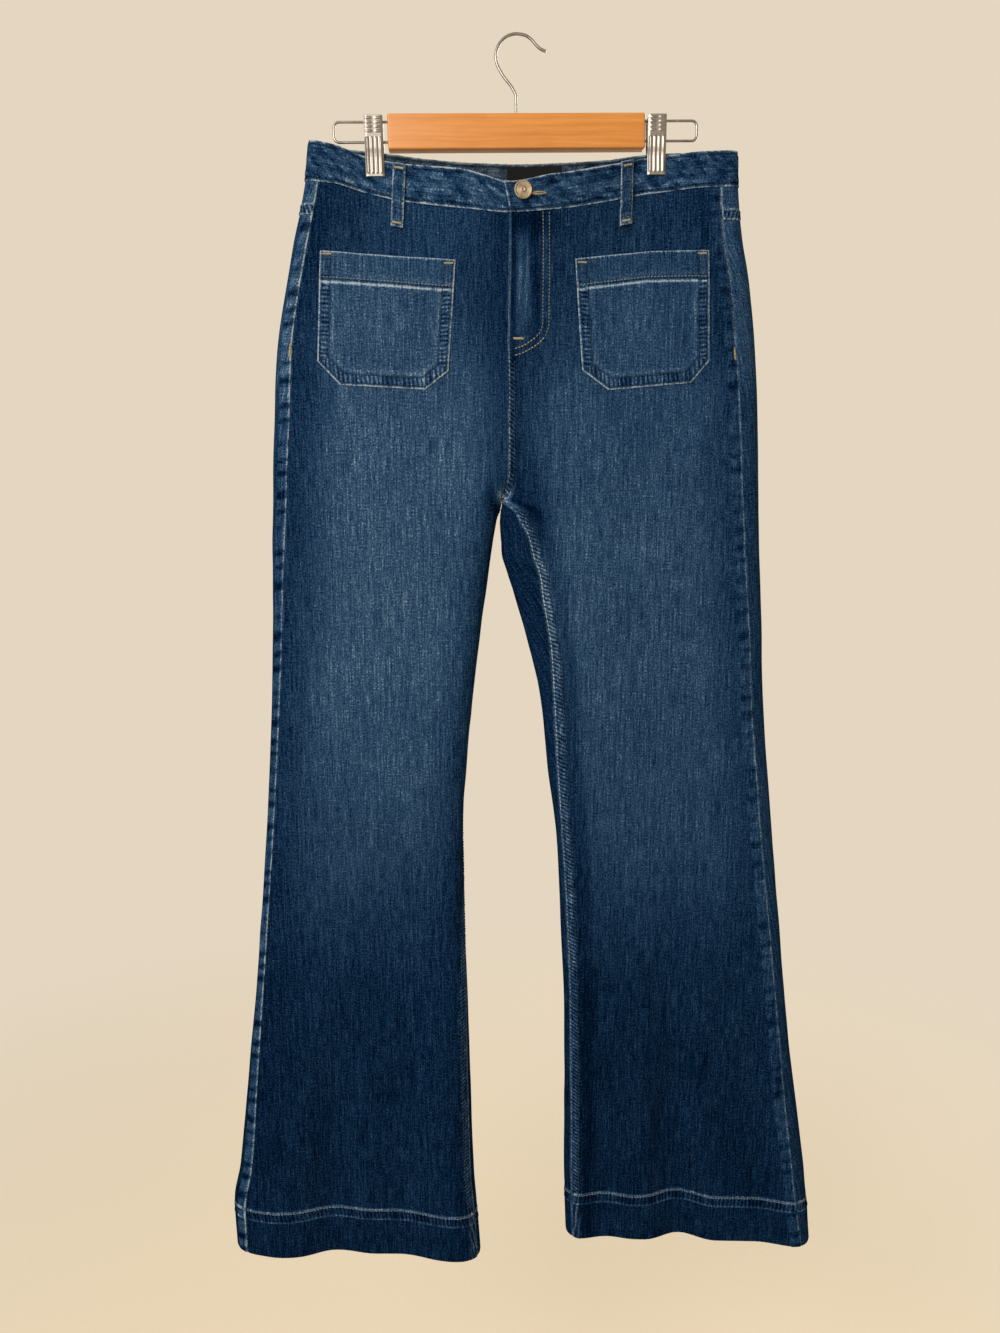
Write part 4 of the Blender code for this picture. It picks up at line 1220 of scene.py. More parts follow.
# Capsule of one stitch: places along it, shares of its radius, and how deep its ends dip in
CAPSULE = ((-0.5, 0.4, -1.0), (-0.34, 1.0, -0.35), (0.0, 1.05, 0.0), (0.34, 1.0, -0.35), (0.5, 0.4, -1.0))
CAPSULE_SIDES = 6


def capsules(starts, ends, normals, radius):
    """Points and faces of many short threads, which lie on the cloth and dip in at their ends"""
    axis = ends - starts
    length = np.linalg.norm(axis, axis=-1, keepdims=True)
    axis = axis / np.maximum(length, 1e-9)
    across = unit(np.cross(axis, normals))
    up = np.cross(across, axis)
    middle = (starts + ends) / 2
    rings = []
    for place, share, sink in CAPSULE:
        centre = middle + axis * length * place + up * STITCH_DIP * sink
        for step in range(CAPSULE_SIDES):
            turn = 2 * math.pi * step / CAPSULE_SIDES
            rings.append(centre + (across * math.cos(turn) + up * math.sin(turn)) * radius * share)
    points = np.stack(rings, 1)
    faces = []
    count = len(CAPSULE)
    for ring in range(count - 1):
        for step in range(CAPSULE_SIDES):
            a = ring * CAPSULE_SIDES + step
            b = ring * CAPSULE_SIDES + (step + 1) % CAPSULE_SIDES
            faces.append((a, b, b + CAPSULE_SIDES, a + CAPSULE_SIDES))
    for step in range(1, CAPSULE_SIDES - 1, 2):
        last = (count - 1) * CAPSULE_SIDES
        faces.append((0, (step + 2) % CAPSULE_SIDES, step + 1, step))
        faces.append((last, last + step, last + step + 1, last + (step + 2) % CAPSULE_SIDES))
    faces = np.array(faces)
    base = np.arange(len(points))[:, None, None] * points.shape[1]
    return points.reshape(-1, 3), (faces[None] + base).reshape(-1, 4)


class Sewing:
    """Threads gathered for one mesh"""

    def __init__(self):
        self.parts = []

    def row(self, path, normals, radius=THREAD_RADIUS):
        """Running stitches along a dense path in mm"""
        steps = np.linalg.norm(np.diff(path, axis=0), axis=1)
        reach = np.concatenate([[0], np.cumsum(steps)])
        count = max(int(reach[-1] / STITCH_PITCH), 1)
        centres = (np.arange(count) + 0.5) * reach[-1] / count

        def read(at, values):
            return np.stack([np.interp(at, reach, values[:, axis]) for axis in range(3)], -1)

        starts = read(centres - STITCH_LENGTH / 2, path)
        ends = read(centres + STITCH_LENGTH / 2, path)
        self.parts.append((starts, ends, unit(read(centres, normals)), radius))

    def tack(self, centre, along, normal, length, width):
        """Bar tack: dense threads across its length"""
        along = unit(np.asarray(along, float))
        normal = unit(np.asarray(normal, float))
        across = np.cross(along, normal)
        count = max(int(length / TACK_PITCH), 2)
        places = (np.arange(count) + 0.5) / count - 0.5
        middle = np.asarray(centre, float) + np.outer(places * length, along)
        slant = along * TACK_PITCH * 0.4
        starts = middle - across * width / 2 - slant
        ends = middle + across * width / 2 + slant
        self.parts.append((starts, ends, np.broadcast_to(normal, starts.shape), THREAD_RADIUS))

    def make(self, name, material):
        points, faces, base = [], [], 0
        for starts, ends, normals, radius in self.parts:
            part_points, part_faces = capsules(starts, ends, normals, radius)
            points.append(part_points)
            faces.append(part_faces + base)
            base += len(part_points)
        mesh = bpy.data.meshes.new(name)
        mesh.from_pydata((np.concatenate(points) * MM).tolist(), [], np.concatenate(faces).tolist())
        mesh.shade_smooth()
        return add_piece(name, mesh, (material,))


def panel_path(side, back, heights, along, out=0.1):
    """Dense path on a panel and its normals"""
    heights, along = np.broadcast_arrays(np.asarray(heights, float), np.asarray(along, float))
    return on_panel(side, back, heights, along, out), cloth_normal(side, heights, along, FLY_LIFT)


def dense(first, last, step=1.5):
    return np.linspace(first, last, max(int(abs(last - first) / step), 2))


def sew_hem(side, back, tan):
    height = HEM[side] + HEM_DEPTH - 1.5
    size = section(side, height)
    start, end = (size.inseam - 2 * size.half, size.seam) if back else (size.seam, size.inseam)
    tan.row(*panel_path(side, back, height, dense(start + 1, end - 1)))


def sew_side(side, back, thread, gold):
    """Edge row down the hip beside the side seam, and the upright tack below it"""
    sign = -1 if back else 1
    heights = dense(YOKE_SIDE - 2 if back else BAND_BOTTOM - 2, HIP_ROW_END)
    thread.row(*panel_path(side, back, heights, section(side, heights).seam + sign * 2.2))
    heights = HIP_TACK + np.array([-6.0, 0.0, 6.0])
    path, normals = panel_path(side, back, heights, section(side, HIP_TACK).seam + sign * 1.6, 0.2)
    gold.tack(path[1], path[2] - path[0], normals[1], 11.5, 2.0)


def sew_panels():
    """Side seams, inseams, rise seams and hems"""
    for side in OUTWARD:
        for back in (False, True):
            thread, tan, gold = Sewing(), Sewing(), Sewing()
            sew_hem(side, back, tan)
            if not back:
                heights = dense(CROTCH - 10, HEM[side] + 2)
                for inset in INSEAM_ROWS:
                    thread.row(*panel_path(side, False, heights, section(side, heights).inseam - inset))
            if holds_allowance(side, back):
                sew_side(side, back, thread, gold)
            if side == "left" and back:
                heights = dense(YOKE_CENTRE - 3, CROTCH + 6)
                for inset in BACK_ROWS:
                    thread.row(*panel_path(side, True, heights, inset - section(side, heights).half))
            elif side == "left":
                sew_fly(thread, tan, gold)
            label = f"{'back' if back else 'front'}_{side}"
            thread.make("stitches_" + label, THREAD)
            tan.make("hem_stitches_" + label, TAN)
            if gold.parts:
                gold.make("tacks_" + label, GOLD)


def sew_fly(thread, tan, gold):
    """The fly's curved double row, its edge row, and the rise seam below it"""
    bends = np.array(FLY_STITCH)
    steps = np.concatenate([[0], np.cumsum(np.linalg.norm(np.diff(bends, axis=0), axis=1))])
    at = np.linspace(0, steps[-1], 160)
    x, z = make_curve(steps, bends[:, 0])(at), make_curve(steps, bends[:, 1])(at)
    dx, dz = np.gradient(x), np.gradient(z)
    long = np.hypot(dx, dz)
    for inset in (0.0, ROW_SPACING):
        row_x, row_z = x + dz / long * inset, z - dx / long * inset
        keep = row_x > FLY_ROWS_END
        nominal, along = front_place("left", row_x[keep], row_z[keep])
        path, normals = panel_path("left", False, nominal, along)
        gold_from = np.argmax(row_z[keep] < FLY_GOLD_START)
        tan.row(path[:gold_from], normals[:gold_from])
        gold.row(path[gold_from:], normals[gold_from:], radius=THREAD_RADIUS * 1.2)
    heights = dense(BAND_BOTTOM - 22, FLY_END)
    half = section("left", heights).half
    thread.row(*panel_path("left", False, heights, half - 1.8))
    heights = dense(FLY_END - 2, CROTCH + 3)
    half = section("left", heights).half
    for inset in RISE_ROWS:
        thread.row(*panel_path("left", False, heights, half - inset))
    nominal, along = front_place("left", *np.array(FLY_TACK).T)
    path, normals = panel_path("left", False, nominal, along, 0.25)
    gold.tack(path[0], path[2] - path[0], normals[1], 9.5, 2.2)


def sew_yokes():
    """Double rows along the yoke seams and up the centre back"""
    thread = Sewing()
    for side in OUTWARD:
        start, _ = back_ends(side, np.array(YOKE_CENTRE))
        _, end = back_ends(side, np.array(YOKE_SIDE))
        for inset in BACK_ROWS:
            along = dense(float(start) + 2 + 0.25 * inset, float(end) - 2)
            height = yoke_edge(side, along) + inset
            thread.row(on_yoke(side, height, along, 0.1), cloth_normal(side, height, along))
        if side == "left":
            heights = dense(BAND_BOTTOM - 1, YOKE_CENTRE + 1)
            for inset in BACK_ROWS:
                along = inset - section(side, heights).half
                thread.row(on_yoke(side, heights, along, 0.1), cloth_normal(side, heights, along))
    thread.make("stitches_yokes", THREAD)


def sew_bands():
    """Edge rows along the top and bottom of the waistband, and across its front end"""
    for side in OUTWARD:
        thread = Sewing()
        for height in (BAND_TOP - 2.6, BAND_BOTTOM + 2.4):
            start = float(SEAM_HALF_GAP - section(side, height).half) + 1
            along = dense(start, float(band_end(side, height)) - 2.5)
            normals = cloth_normal(side, height, along, BAND_LIFT)
            thread.row(on_band(side, height, along, 0.1), normals)
            thread.row(on_band(side, height, along, -BAND_THICKNESS - 0.1), -normals)
        if side == "left":
            heights = dense(BAND_TOP - 3, BAND_BOTTOM + 3)
            along = band_end(side, heights) - 2.4
            thread.row(on_band(side, heights, along, 0.1), cloth_normal(side, heights, along, BAND_LIFT))
        thread.make("stitches_waistband_" + side, THREAD)


def inset_outline(side, inset):
    """The pocket's outline moved in, as points from the outer top corner round to the inner one"""
    corners = [np.array(corner, float) for corner in pocket_outline(side)]
    centre = np.mean(corners, axis=0)
    lines = []
    for a, b in zip(corners, corners[1:]):
        normal = np.array([-(b - a)[1], (b - a)[0]])
        normal /= np.linalg.norm(normal)
        if np.dot(centre - a, normal) < 0:
            normal = -normal
        lines.append((a + normal * inset, b + normal * inset))
    points = [lines[0][0]]
    for (a, b), (c, d) in zip(lines, lines[1:]):
        r, s = b - a, d - c
        t = ((c - a)[0] * s[1] - (c - a)[1] * s[0]) / (r[0] * s[1] - r[1] * s[0])
        points.append(a + r * t)
    points.append(lines[-1][1])
    return points


def pocket_rows(side, corners, drop=0.0):
    """Dense path through corners on a pocket's face"""
    pieces = [np.linspace(a, b, 60, endpoint=False) for a, b in zip(corners, corners[1:])]
    flat = np.concatenate([*pieces, [corners[-1]]])
    x, z = flat[:, 0], flat[:, 1] - drop
    nominal, along = front_place(side, x, z)
    return on_pocket(side, x, z, 0.1), cloth_normal(side, nominal, along, FLY_LIFT)


def sew_pockets():
    """Double rows round each pocket, its hem's row, and gold tacks in its top corners"""
    for side in OUTWARD:
        thread, tan, gold = Sewing(), Sewing(), Sewing()
        for inset in POCKET_ROWS:
            corners = inset_outline(side, inset)
            corners[0][1] -= 1.5
            corners[-1][1] -= 1.5
            thread.row(*pocket_rows(side, corners))
        top = [np.array(corner, float) for corner in POCKETS[side]["top"]]
        top[0][0] += 1.5 * -OUTWARD[side]
        top[-1][0] -= 1.5 * -OUTWARD[side]
        tan.row(*pocket_rows(side, top, POCKET_HEM), radius=THREAD_RADIUS * 1.15)
        for corner, toward in ((top[0], -OUTWARD[side]), (top[-1], OUTWARD[side])):
            x = corner[0] + toward * np.array([1.0, 5.0, 9.0])
            z = np.full(3, corner[1] - 3.2)
            path = on_pocket(side, x, z, 0.2)
            nominal, along = front_place(side, x, z)
            normal = cloth_normal(side, nominal, along, FLY_LIFT)[1]
            gold.tack(path[1], path[2] - path[0], normal, 8.5, 1.8)
        thread.make("stitches_pocket_" + side, THREAD)
        tan.make("hem_stitches_pocket_" + side, TAN)
        gold.make("tacks_pocket_" + side, GOLD)


def sew_loops():
    """Two rows down each belt loop and a gold tack at each end"""
    thread, gold = Sewing(), Sewing()
    for loop in LOOPS:
        t = np.linspace(0.03, 0.97, 50)
        height, along, _ = loop_place(loop, 0.5 + 0 * t, t)
        normals = cloth_normal(loop.side, height, along, BAND_LIFT)
        for share in (2.4 / loop.width, 1 - 2.4 / loop.width):
            thread.row(on_loop(loop, share + 0 * t, t, 0.08), normals)
        for place in (0.075, 0.93):
            u = np.array([0.2, 0.5, 0.8])
            path = on_loop(loop, u, place + 0 * u, 0.25)
            height, along, _ = loop_place(loop, 0.5, place)
            normal = cloth_normal(loop.side, height, along, BAND_LIFT)
            gold.tack(path[1], path[2] - path[0], normal, loop.width * 0.72, 2.0)
    thread.make("stitches_loops", THREAD)
    gold.make("tacks_loops", GOLD)


def buttonhole():
    """Keyhole worked in close radial stitches, with its slit"""
    centre_x = (BUTTONHOLE[0] + BUTTONHOLE[1]) / 2
    half = (BUTTONHOLE[1] - BUTTONHOLE[0]) / 2
    turns = np.linspace(0, 2 * math.pi, 74, endpoint=False)
    thread = Sewing()

    def ring(radius_x, radius_z, out):
        x = centre_x + np.cos(turns) * radius_x
        z = BUTTON_CENTRE[1] - 0.3 + np.sin(turns) * radius_z
        nominal, along = front_place("left", x, z)
        return on_band("left", nominal, along, out), cloth_normal("left", nominal, along, BAND_LIFT)

    inner, normals = ring(half - 1.0, 0.25, 0.15)
    outer, _ = ring(half + 0.6, 1.7, 0.15)
    thread.parts.append((inner, outer, normals, THREAD_RADIUS * 0.9))
    thread.make("buttonhole", GOLD)


def add(tree, kind, inputs=None, **settings):
    """Shader node with its settings, and its inputs linked or set"""
    made = tree.nodes.new("ShaderNode" + kind)
    for key, value in settings.items():
        setattr(made, key, value)
    for key, value in (inputs or {}).items():
        if isinstance(value, bpy.types.NodeSocket):
            tree.links.new(value, made.inputs[key])
        else:
            made.inputs[key].default_value = value
    return made


def maths(tree, operation, *values, clamp=False):
    node = add(tree, "Math", dict(enumerate(values)), operation=operation, use_clamp=clamp)
    return node.outputs[0]


def noise(tree, vector, scale, detail=2.0, roughness=0.5):
    """Noise on a stretched copy of a vector"""
    scaled = add(tree, "Mapping", {"Vector": vector, "Scale": scale})
    inputs = {"Vector": scaled.outputs[0], "Scale": 1.0, "Detail": detail, "Roughness": roughness}
    return add(tree, "TexNoise", inputs).outputs["Fac"]


def ramp(tree, value, stops):
    """Colours or greys read along a ramp"""
    node = add(tree, "ValToRGB", {"Fac": value})
    elements = node.color_ramp.elements
    while len(elements) < len(stops):
        elements.new(0.5)
    for element, (place, colour) in zip(elements, stops):
        element.position = place
        element.color = (*colour, 1.0)
    return node.outputs["Color"]


def shade(value):
    """Linear light of a screen value from 0 to 255"""
    value /= 255
    return value / 12.92 if value <= 0.04045 else ((value + 0.055) / 1.055) ** 2.4


def tone(red, green, blue):
    return (shade(red), shade(green), shade(blue))


def mixed(tree, *shares):
    """Sum of values, each times its share"""
    parts = [maths(tree, "MULTIPLY", value, share) for value, share in shares]
    total = parts[0]
    for part in parts[1:]:
        total = maths(tree, "ADD", total, part)
    return total


def stored(tree, name):
    return add(tree, "Attribute", attribute_name=name).outputs["Vector"]


def dress(tree, shader, colour, relief, strength, depth):
    """Gives the shader its colour and a bump whose depth is in metres"""
    tree.links.new(colour, shader.inputs["Base Color"])
    bump = add(tree, "Bump", {"Height": relief, "Strength": strength, "Distance": depth})
    tree.links.new(bump.outputs[0], shader.inputs["Normal"])


def new_material(name):
    material = bpy.data.materials.new(name)
    material.use_nodes = True
    tree = material.node_tree
    return material, tree, tree.nodes["Principled BSDF"]


def set_shader(shader, **values):
    for key, value in values.items():
        shader.inputs[key.replace("_", " ")].default_value = value


def lit(red, green, blue):
    """Colour that shows as this screen value under the studio's light"""
    return tuple(shade(value) / light for value, light in zip((red, green, blue), STUDIO_LIGHT))


# Indigo from unworn to bare weft
INDIGO = (
    (0.00, lit(2, 12, 28)), (0.18, lit(8, 31, 56)), (0.40, lit(29, 54, 80)), (0.62, lit(52, 78, 102)),
    (0.80, lit(84, 109, 130)), (0.92, lit(122, 142, 154)), (1.00, lit(165, 173, 172)),
)


def denim_material(name, stops):
    """Twill with slubs and flecks, worn pale at its edges and in bars over its seam allowances"""
    material, tree, shader = new_material(name)
    weave = stored(tree, "weave")
    fade_and_shade, edge, bars = add(tree, "SeparateXYZ", {0: stored(tree, "wear")}).outputs
    run, inward, braid = add(tree, "SeparateXYZ", {0: stored(tree, "seam")}).outputs

    slub = noise(tree, weave, (430, 14, 1), 3.0, 0.6)
    warp = noise(tree, weave, (900, 60, 1), 2.0, 0.6)
    weft = noise(tree, weave, (90, 760, 1), 2.0, 0.6)
    grain = noise(tree, weave, (640, 560, 1), 2.0, 0.65)
    cloud = noise(tree, weave, (16, 9, 1), 4.0, 0.6)
    place = add(tree, "SeparateXYZ", {0: weave})
    across = maths(tree, "MULTIPLY", place.outputs[0], 5200.0)
    down = maths(tree, "MULTIPLY", place.outputs[1], 7400.0)
    twill = maths(tree, "SINE", maths(tree, "ADD", across, down))

    # Starts from the piece's tone, which holds both wear and painted shade
    level = fade_and_shade
    for value, middle, strength in (
        (slub, 0.5, 0.56), (warp, 0.5, 0.80), (weft, 0.5, 0.40), (grain, 0.5, 1.25), (cloud, 0.5, 0.20),
        (twill, 0.0, 0.04),
    ):
        offset = maths(tree, "MULTIPLY", maths(tree, "SUBTRACT", value, middle), strength)
        level = maths(tree, "ADD", level, offset)

    spot = add(tree, "CombineXYZ", {0: run, 1: inward}).outputs[0]
    patch = noise(tree, spot, (0.10, 0.09, 1), 2.0, 0.55)
    limits = {"Value": patch, "From Min": 0.34, "From Max": 0.62, "To Min": -0.30, "To Max": 0.20}
    bar = add(tree, "MapRange", limits, interpolation_type="SMOOTHSTEP").outputs[0]
    blotch = maths(tree, "SUBTRACT", noise(tree, weave, (120, 105, 1), 2.0, 0.6), 0.5)
    bar = maths(tree, "ADD", bar, maths(tree, "MULTIPLY", blotch, 0.7))
    level = maths(tree, "ADD", level, maths(tree, "MULTIPLY", bar, bars))

    twist = maths(tree, "MULTIPLY", noise(tree, spot, (0.16, 0.2, 1), 2.0, 0.6), 7.0)
    turn = mixed(tree, (run, 1.5), (inward, 0.75))
    mark = maths(tree, "SINE", maths(tree, "ADD", turn, twist))
    mark = maths(tree, "SUBTRACT", maths(tree, "MULTIPLY", mark, 0.25), 0.03)
    level = maths(tree, "ADD", level, maths(tree, "MULTIPLY", mark, braid))

    rub = noise(tree, weave, (260, 150, 1), 3.0, 0.7)
    share = maths(tree, "DIVIDE", edge, 1.4)
    line = maths(tree, "EXPONENT", maths(tree, "MULTIPLY", maths(tree, "MULTIPLY", share, share), -1.0))
    line = maths(tree, "MULTIPLY", line, maths(tree, "ADD", 0.32, maths(tree, "MULTIPLY", rub, 0.46)))
    level = maths(tree, "ADD", level, line, clamp=True)

    height = mixed(tree, (slub, 0.5), (warp, 0.5), (grain, 0.45), (twill, 0.10))
    dress(tree, shader, ramp(tree, level, stops), height, 0.6, 0.0007)
    rough = maths(tree, "ADD", 0.8, maths(tree, "MULTIPLY", grain, 0.2))
    tree.links.new(rough, shader.inputs["Roughness"])
    set_shader(shader, Specular_IOR_Level=0.0)
    return material


def tape_material():
    """Black woven tape with a fine rib"""
    material, tree, shader = new_material("black_tape")
    weave = stored(tree, "weave")
    rib = noise(tree, weave, (120, 2300, 1), 2.0)
    fleck = noise(tree, weave, (1400, 900, 1), 2.0)
    value = maths(tree, "MULTIPLY", rib, fleck)
    colour = ramp(tree, value, ((0.0, lit(9, 9, 10)), (0.55, lit(34, 32, 30))))
    dress(tree, shader, colour, rib, 0.5, 0.0003)
    set_shader(shader, Roughness=0.8, Specular_IOR_Level=0.1)
    return material


def thread_material(name, dark, pale):
    """Twisted thread"""
    material, tree, shader = new_material(name)
    place = add(tree, "TexCoord").outputs["Object"]
    patch = noise(tree, place, (160, 160, 160), 3.0, 0.6)
    twist = noise(tree, place, (2600, 2600, 2600), 1.0)
    colour = ramp(tree, mixed(tree, (patch, 0.7), (twist, 0.3)), ((0.30, dark), (0.70, pale)))
    dress(tree, shader, colour, twist, 0.6, 0.0002)
    set_shader(shader, Roughness=0.7, Specular_IOR_Level=0.15)
    return material


def wood_material():
    """Varnished pine-coloured wood with grain along the bar"""
    material, tree, shader = new_material("varnished_wood")
    place = add(tree, "TexCoord").outputs["Object"]
    bend = noise(tree, place, (7, 7, 30), 2.0)
    push = add(tree, "CombineXYZ", {2: maths(tree, "MULTIPLY", bend, 0.012)}).outputs[0]
    warped = add(tree, "VectorMath", {0: place, 1: push}, operation="ADD").outputs[0]
    rings = noise(tree, warped, (6, 90, 320), 3.0, 0.6)
    pores = noise(tree, place, (60, 1200, 1600), 2.0, 0.6)
    cloud = noise(tree, place, (14, 40, 40), 3.0)
    value = mixed(tree, (rings, 0.55), (pores, 0.2), (cloud, 0.25))
    stops = (0.32, lit(204, 120, 44)), (0.5, lit(220, 138, 58)), (0.68, lit(232, 154, 74))
    dress(tree, shader, ramp(tree, value, stops), value, 0.15, 0.0004)
    rough = maths(tree, "ADD", 0.3, maths(tree, "MULTIPLY", pores, 0.22))
    tree.links.new(rough, shader.inputs["Roughness"])
    set_shader(shader, Coat_Weight=0.12, Coat_Roughness=0.25, Specular_IOR_Level=0.3)
    return material


def metal_material(name, dark, pale, rough):
    """Plated metal with fine scratches and a dull bloom"""
    material, tree, shader = new_material(name)
    place = add(tree, "TexCoord").outputs["Object"]
    bloom = noise(tree, place, (130, 130, 130), 4.0, 0.6)
    scratch = noise(tree, place, (1900, 300, 260), 2.0, 0.7)
    value = mixed(tree, (bloom, 0.65), (scratch, 0.35))
    dress(tree, shader, ramp(tree, value, ((0.3, dark), (0.7, pale))), value, 0.12, 0.0002)
    dull = maths(tree, "ADD", rough, maths(tree, "MULTIPLY", value, 0.2))
    tree.links.new(dull, shader.inputs["Roughness"])
    set_shader(shader, Metallic=1.0)
    return material


def floor_material():
    """Pale floor that fades out away from the object"""
    material, tree, shader = new_material("pale_floor")
    place = add(tree, "TexCoord").outputs["Object"]
    mottle = noise(tree, place, (220, 220, 220), 2.0)
    colour = ramp(tree, mottle, ((0.2, tone(189, 179, 161)), (0.8, tone(193, 183, 165))))
    tree.links.new(colour, shader.inputs["Base Color"])
    set_shader(shader, Roughness=0.9, Specular_IOR_Level=0.1)
    distance = add(tree, "VectorMath", {0: place}, operation="LENGTH").outputs["Value"]
    clear = add(tree, "BsdfTransparent")
    limits = {"Value": distance, "From Min": 0.5, "From Max": 2.2}
    share = add(tree, "MapRange", limits, interpolation_type="SMOOTHSTEP")
    mix = add(tree, "MixShader", {0: share.outputs[0], 1: shader.outputs[0], 2: clear.outputs[0]})
    tree.links.new(mix.outputs[0], tree.nodes["Material Output"].inputs["Surface"])
    return material


def turned(name, profile, material):
    """Solid turned about its own Z from a profile that runs down its outer side"""
    mesh = bpy.data.meshes.new(name)
    bm = bmesh.new()
    verts = [bm.verts.new((radius * MM, 0, height * MM)) for radius, height in profile]
    for first, second in zip(verts, verts[1:]):
        bm.edges.new((first, second))
    bm.to_mesh(mesh)
    bm.free()
    made = new_object(name, mesh)
    mesh.materials.append(material)
    screw = made.modifiers.new("turn", "SCREW")
    screw.steps = screw.render_steps = 64
    screw.use_merge_vertices = True
    screw.merge_threshold = 0.00001
    screw.use_smooth_shade = True
    return made


def waist_button():
    """Tack button with plain rings round a raised middle"""
    r, h = BUTTON_RADIUS, BUTTON_HEIGHT
    profile = [
        (0, h * 0.86), (r * 0.08, h * 0.88), (r * 0.12, h * 0.98), (r * 0.24, h), (r * 0.30, h * 0.93),
    ]
    for ring in range(4):
        at = 0.36 + ring * 0.11
        profile += [(r * at, h * 0.74), (r * (at + 0.035), h * 0.86), (r * (at + 0.07), h * 0.74)]
    profile += [
        (r * 0.80, h * 0.84), (r * 0.85, h * 0.99), (r * 0.91, h), (r * 0.97, h * 0.9), (r, h * 0.72),
        (r * 0.98, h * 0.55), (r * 0.9, h * 0.46), (SHANK_RADIUS, h * 0.4), (SHANK_RADIUS, 0), (0, 0),
    ]
    button = turned("tack_button", profile, BRASS)
    nominal, along = front_place("left", BUTTON_CENTRE[0], BUTTON_CENTRE[1])
    seat = moved_out("left", nominal, along, BAND_STEP + LAY_GAP + 0.1, BAND_LIFT)
    normal = cloth_normal("left", nominal, along, BAND_LIFT)
    button.location = Vector(seat) * MM
    button.rotation_euler = Vector(normal).to_track_quat("Z", "Y").to_euler()
    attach(button, "root")
    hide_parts("waist_button")


HANGER_PLACE = Matrix.Translation(Vector(STEM_FOOT) * MM) @ Matrix.Rotation(-HANGER_TILT, 4, "Y")


def hang(made, slot, *nodes):
    """Puts a hanger piece, made in the hanger's own frame, in its place"""
    made.matrix_world = HANGER_PLACE @ made.matrix_world
    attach(made, "root")
    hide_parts(*nodes)


def hanger_bar():
    """Wooden bar with rounded edges"""
    bm = bmesh.new()
    bmesh.ops.create_cube(bm, size=1.0)
    bmesh.ops.scale(bm, vec=[value * MM for value in BAR_SIZE], verts=bm.verts)
    bmesh.ops.translate(bm, vec=(0, 0, (BAR_RAISE - BAR_SIZE[2] / 2) * MM), verts=bm.verts)
    mesh = bpy.data.meshes.new("bar_wood")
    bm.to_mesh(mesh)
    bm.free()
    mesh.materials.append(WOOD)
    made = new_object("bar_wood", mesh)
    round_edges(made, BAR_EDGE, 5)
    mesh.shade_smooth()
    hang(made, "wood", "hanger_bar")


def wire(name, points, radius, node):
    """Round plated wire along points of its centre line, in the hanger's frame"""
    data = bpy.data.curves.new(name, "CURVE")
    data.dimensions = "3D"
    data.bevel_depth = radius * MM
    data.bevel_resolution = 4
    data.use_fill_caps = True
    spline = data.splines.new("POLY")
    spline.points.add(len(points) - 1)
    for target, (x, y, z) in zip(spline.points, points):
        target.co = (x * MM, y * MM, z * MM, 1)
    spline.use_smooth = True
    data.materials.append(STEEL)
    hang(new_object(name, data), "steel", node)


def hanger_wires():
    """Hook and rails"""
    counts = range(len(HOOK))
    across = make_curve(counts, [bend.across for bend in HOOK])
    height = make_curve(counts, [bend.height for bend in HOOK])
    steps = np.linspace(0, len(HOOK) - 1, (len(HOOK) - 1) * HOOK_STEPS + 1)
    bends = [(float(across(step)), 0, float(height(step))) for step in steps]
    wire("hook_wire", bends, HOOK_RADIUS, "hanger_hook")
    for side, sign in OUTWARD.items():
        start = BAR_SIZE[0] / 2 - 1.5
        top, low = RAIL_HEIGHTS
        points = [(sign * start, 0, top)]
        for centre_z, first in ((top - RAIL_CORNER, 90), (low + RAIL_CORNER, 0)):
            for step in range(10):
                angle = math.radians(first - 10 * step)
                x = RAIL_REACH - RAIL_CORNER + RAIL_CORNER * math.cos(angle)
                points.append((sign * x, 0, centre_z + RAIL_CORNER * math.sin(angle)))
        points.append((sign * start, 0, low))
        wire("rail_wire_" + side, points, WIRE_RADIUS, "hanger_rail_" + side)


RIBS = 4
RIB_RISE = 0.9
UPPER_PITCH = 3.6
LOWER_PITCH = 4.1


def jaw_ribs(x, z):
    """Rise of a clip's pressed ribs: short level ones in two columns, then upright ones"""
    column = np.clip(near(np.abs(x) - 4.2, 3.0) ** 2 * 1.35, 0, 1)
    upper = np.zeros(np.shape(x))
    lower = np.zeros(np.shape(x))
    for rib in range(RIBS):
        upper = np.maximum(upper, near(z + 5.2 + UPPER_PITCH * rib, 1.05))
        lower = np.maximum(lower, near(x - (rib - (RIBS - 1) / 2) * LOWER_PITCH, 1.15))
    span = smoothstep((-20.5 - z) / 2.0) * smoothstep((z + 53.0) / 1.8)
    return RIB_RISE * np.maximum(upper * column, lower * span)


def clip_jaw(side, face):
    """Pressed plate that grips the waistband"""
    sign = -1.0 if face == "front" else 1.0
    out = make_curve([bend.height for bend in JAW], [bend.across for bend in JAW])
    x = np.linspace(-CLIP_WIDTH / 2, CLIP_WIDTH / 2, 61)[None, :]
    z = np.linspace(JAW[0].height, JAW[-1].height, 150)[:, None]
    x, z = np.broadcast_arrays(x, z)
    rim = CLIP_WIDTH / 2 - np.abs(x)
    rise = jaw_ribs(x, z) - 0.9 * near(rim, 1.1)
    points = np.stack([x + CLIP_CENTRES[side], sign * (out(z) + rise), z + JAW_RAISE], -1)
    name = f"clip_{face}_{side}"
    mesh = make_mesh(name, points, face == "back")
    mesh.materials.append(PLATED)
    made = new_object(name, mesh)
    wall = made.modifiers.new("plate", "SOLIDIFY")
    wall.thickness = CLIP_PLATE * MM
    wall.offset = -1.0
    hang(made, "steel", f"clip_jaw_{face}_{side}")


def dress_cores():
    """The cores stay as they are built and take the plating, with softened edges"""
    for side in OUTWARD:
        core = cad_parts["clip_core_" + side]
        core.data.materials.clear()
        core.data.materials.append(STEEL)
        round_edges(core, 0.3)


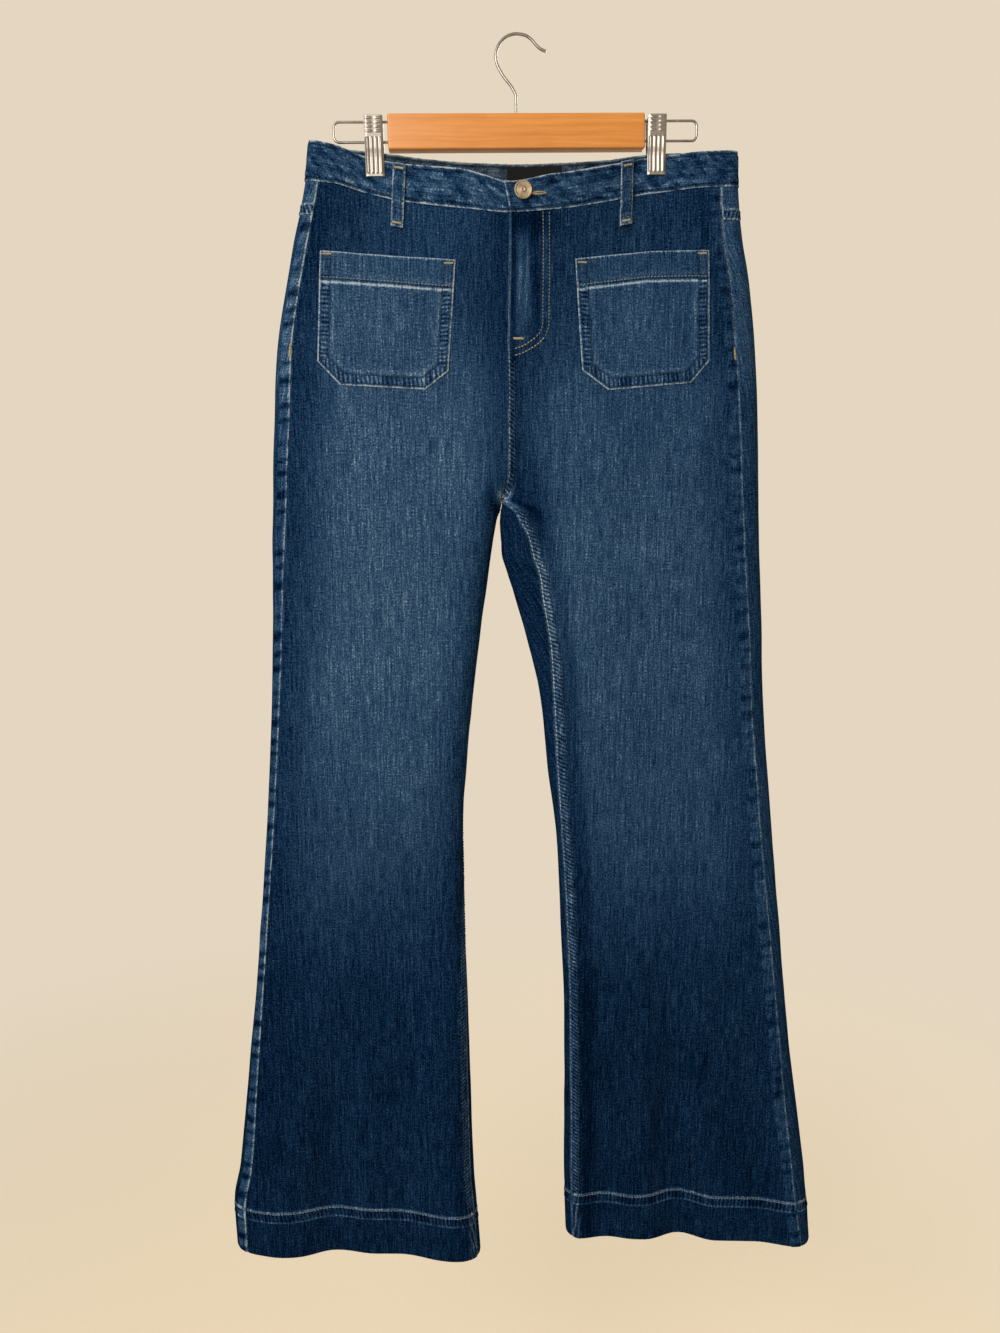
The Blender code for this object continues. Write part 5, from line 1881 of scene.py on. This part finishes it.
def studio():
    """Camera at the photograph's place, pale floor, soft light and pale surroundings"""
    camera = new_object("camera", bpy.data.cameras.new("camera"))
    camera.location = CAMERA_PLACE
    camera.rotation_euler = (math.radians(90 - CAMERA_PITCH), 0, math.radians(CAMERA_TURN))
    camera.data.lens = CAMERA_LENS
    camera.data.sensor_width = SENSOR
    camera.data.clip_start = 0.01
    bpy.context.scene.camera = camera

    bm = bmesh.new()
    bmesh.ops.create_circle(bm, cap_ends=True, segments=96, radius=3.0)
    mesh = bpy.data.meshes.new("floor")
    bm.to_mesh(mesh)
    bm.free()
    mesh.materials.append(floor_material())
    floor = new_object("floor", mesh)
    floor.location.z = FLOOR_HEIGHT

    world = bpy.data.worlds.new("studio")
    world.use_nodes = True
    background = world.node_tree.nodes["Background"]
    background.inputs["Color"].default_value = (*tone(228, 214, 192), 1.0)
    background.inputs["Strength"].default_value = 1.0
    bpy.context.scene.world = world
    Lamp = namedtuple("Lamp", "name place aim size power colour")
    lamps = (
        Lamp("key", (-1.5, -2.2, 0.5), (0, 0, -0.6), 1.5, 110.0, (1.0, 0.97, 0.92)),
        Lamp("rear", (1.6, 2.3, 0.6), (0, 0, -0.6), 1.6, 80.0, (1.0, 0.98, 0.95)),
    )
    for lamp in lamps:
        light = bpy.data.lights.new(lamp.name, "AREA")
        light.size = lamp.size
        light.energy = lamp.power
        light.color = lamp.colour
        made = new_object(lamp.name, light)
        made.location = lamp.place
        aim = Vector(lamp.aim) - Vector(lamp.place)
        made.rotation_euler = aim.to_track_quat("-Z", "Y").to_euler()
    bpy.context.scene.view_settings.view_transform = "Standard"


DENIM_FACE = denim_material("indigo_denim", INDIGO)
INSIDE = (
    (0.00, lit(16, 26, 40)), (0.40, lit(48, 60, 72)), (0.75, lit(88, 100, 108)), (1.00, lit(140, 148, 148)),
)
DENIM_INSIDE = denim_material("denim_inside", INSIDE)
TAPE = tape_material()
THREAD = thread_material("dark_thread", lit(12, 17, 26), lit(64, 66, 66))
TAN = thread_material("tan_thread", lit(92, 92, 86), lit(156, 150, 130))
GOLD = thread_material("gold_thread", lit(140, 118, 76), lit(196, 172, 122))
WOOD = wood_material()
STEEL = metal_material("plated_steel", tone(112, 107, 102), tone(150, 145, 138), 0.26)
PLATED = metal_material("brushed_plate", tone(124, 119, 114), tone(154, 148, 140), 0.34)
BRASS = metal_material("aged_brass", tone(98, 83, 65), tone(170, 155, 131), 0.40)

studio()
for wearer_side in OUTWARD:
    panel(wearer_side, False)
    panel(wearer_side, True)
    back_yoke(wearer_side)
    waistband(wearer_side)
    front_pocket(wearer_side)
for strap in LOOPS:
    belt_loop(strap)
inner_label()
sew_panels()
sew_yokes()
sew_bands()
sew_pockets()
sew_loops()
buttonhole()
waist_button()
hanger_bar()
hanger_wires()
for wearer_side in OUTWARD:
    clip_jaw(wearer_side, "front")
    clip_jaw(wearer_side, "back")
dress_cores()
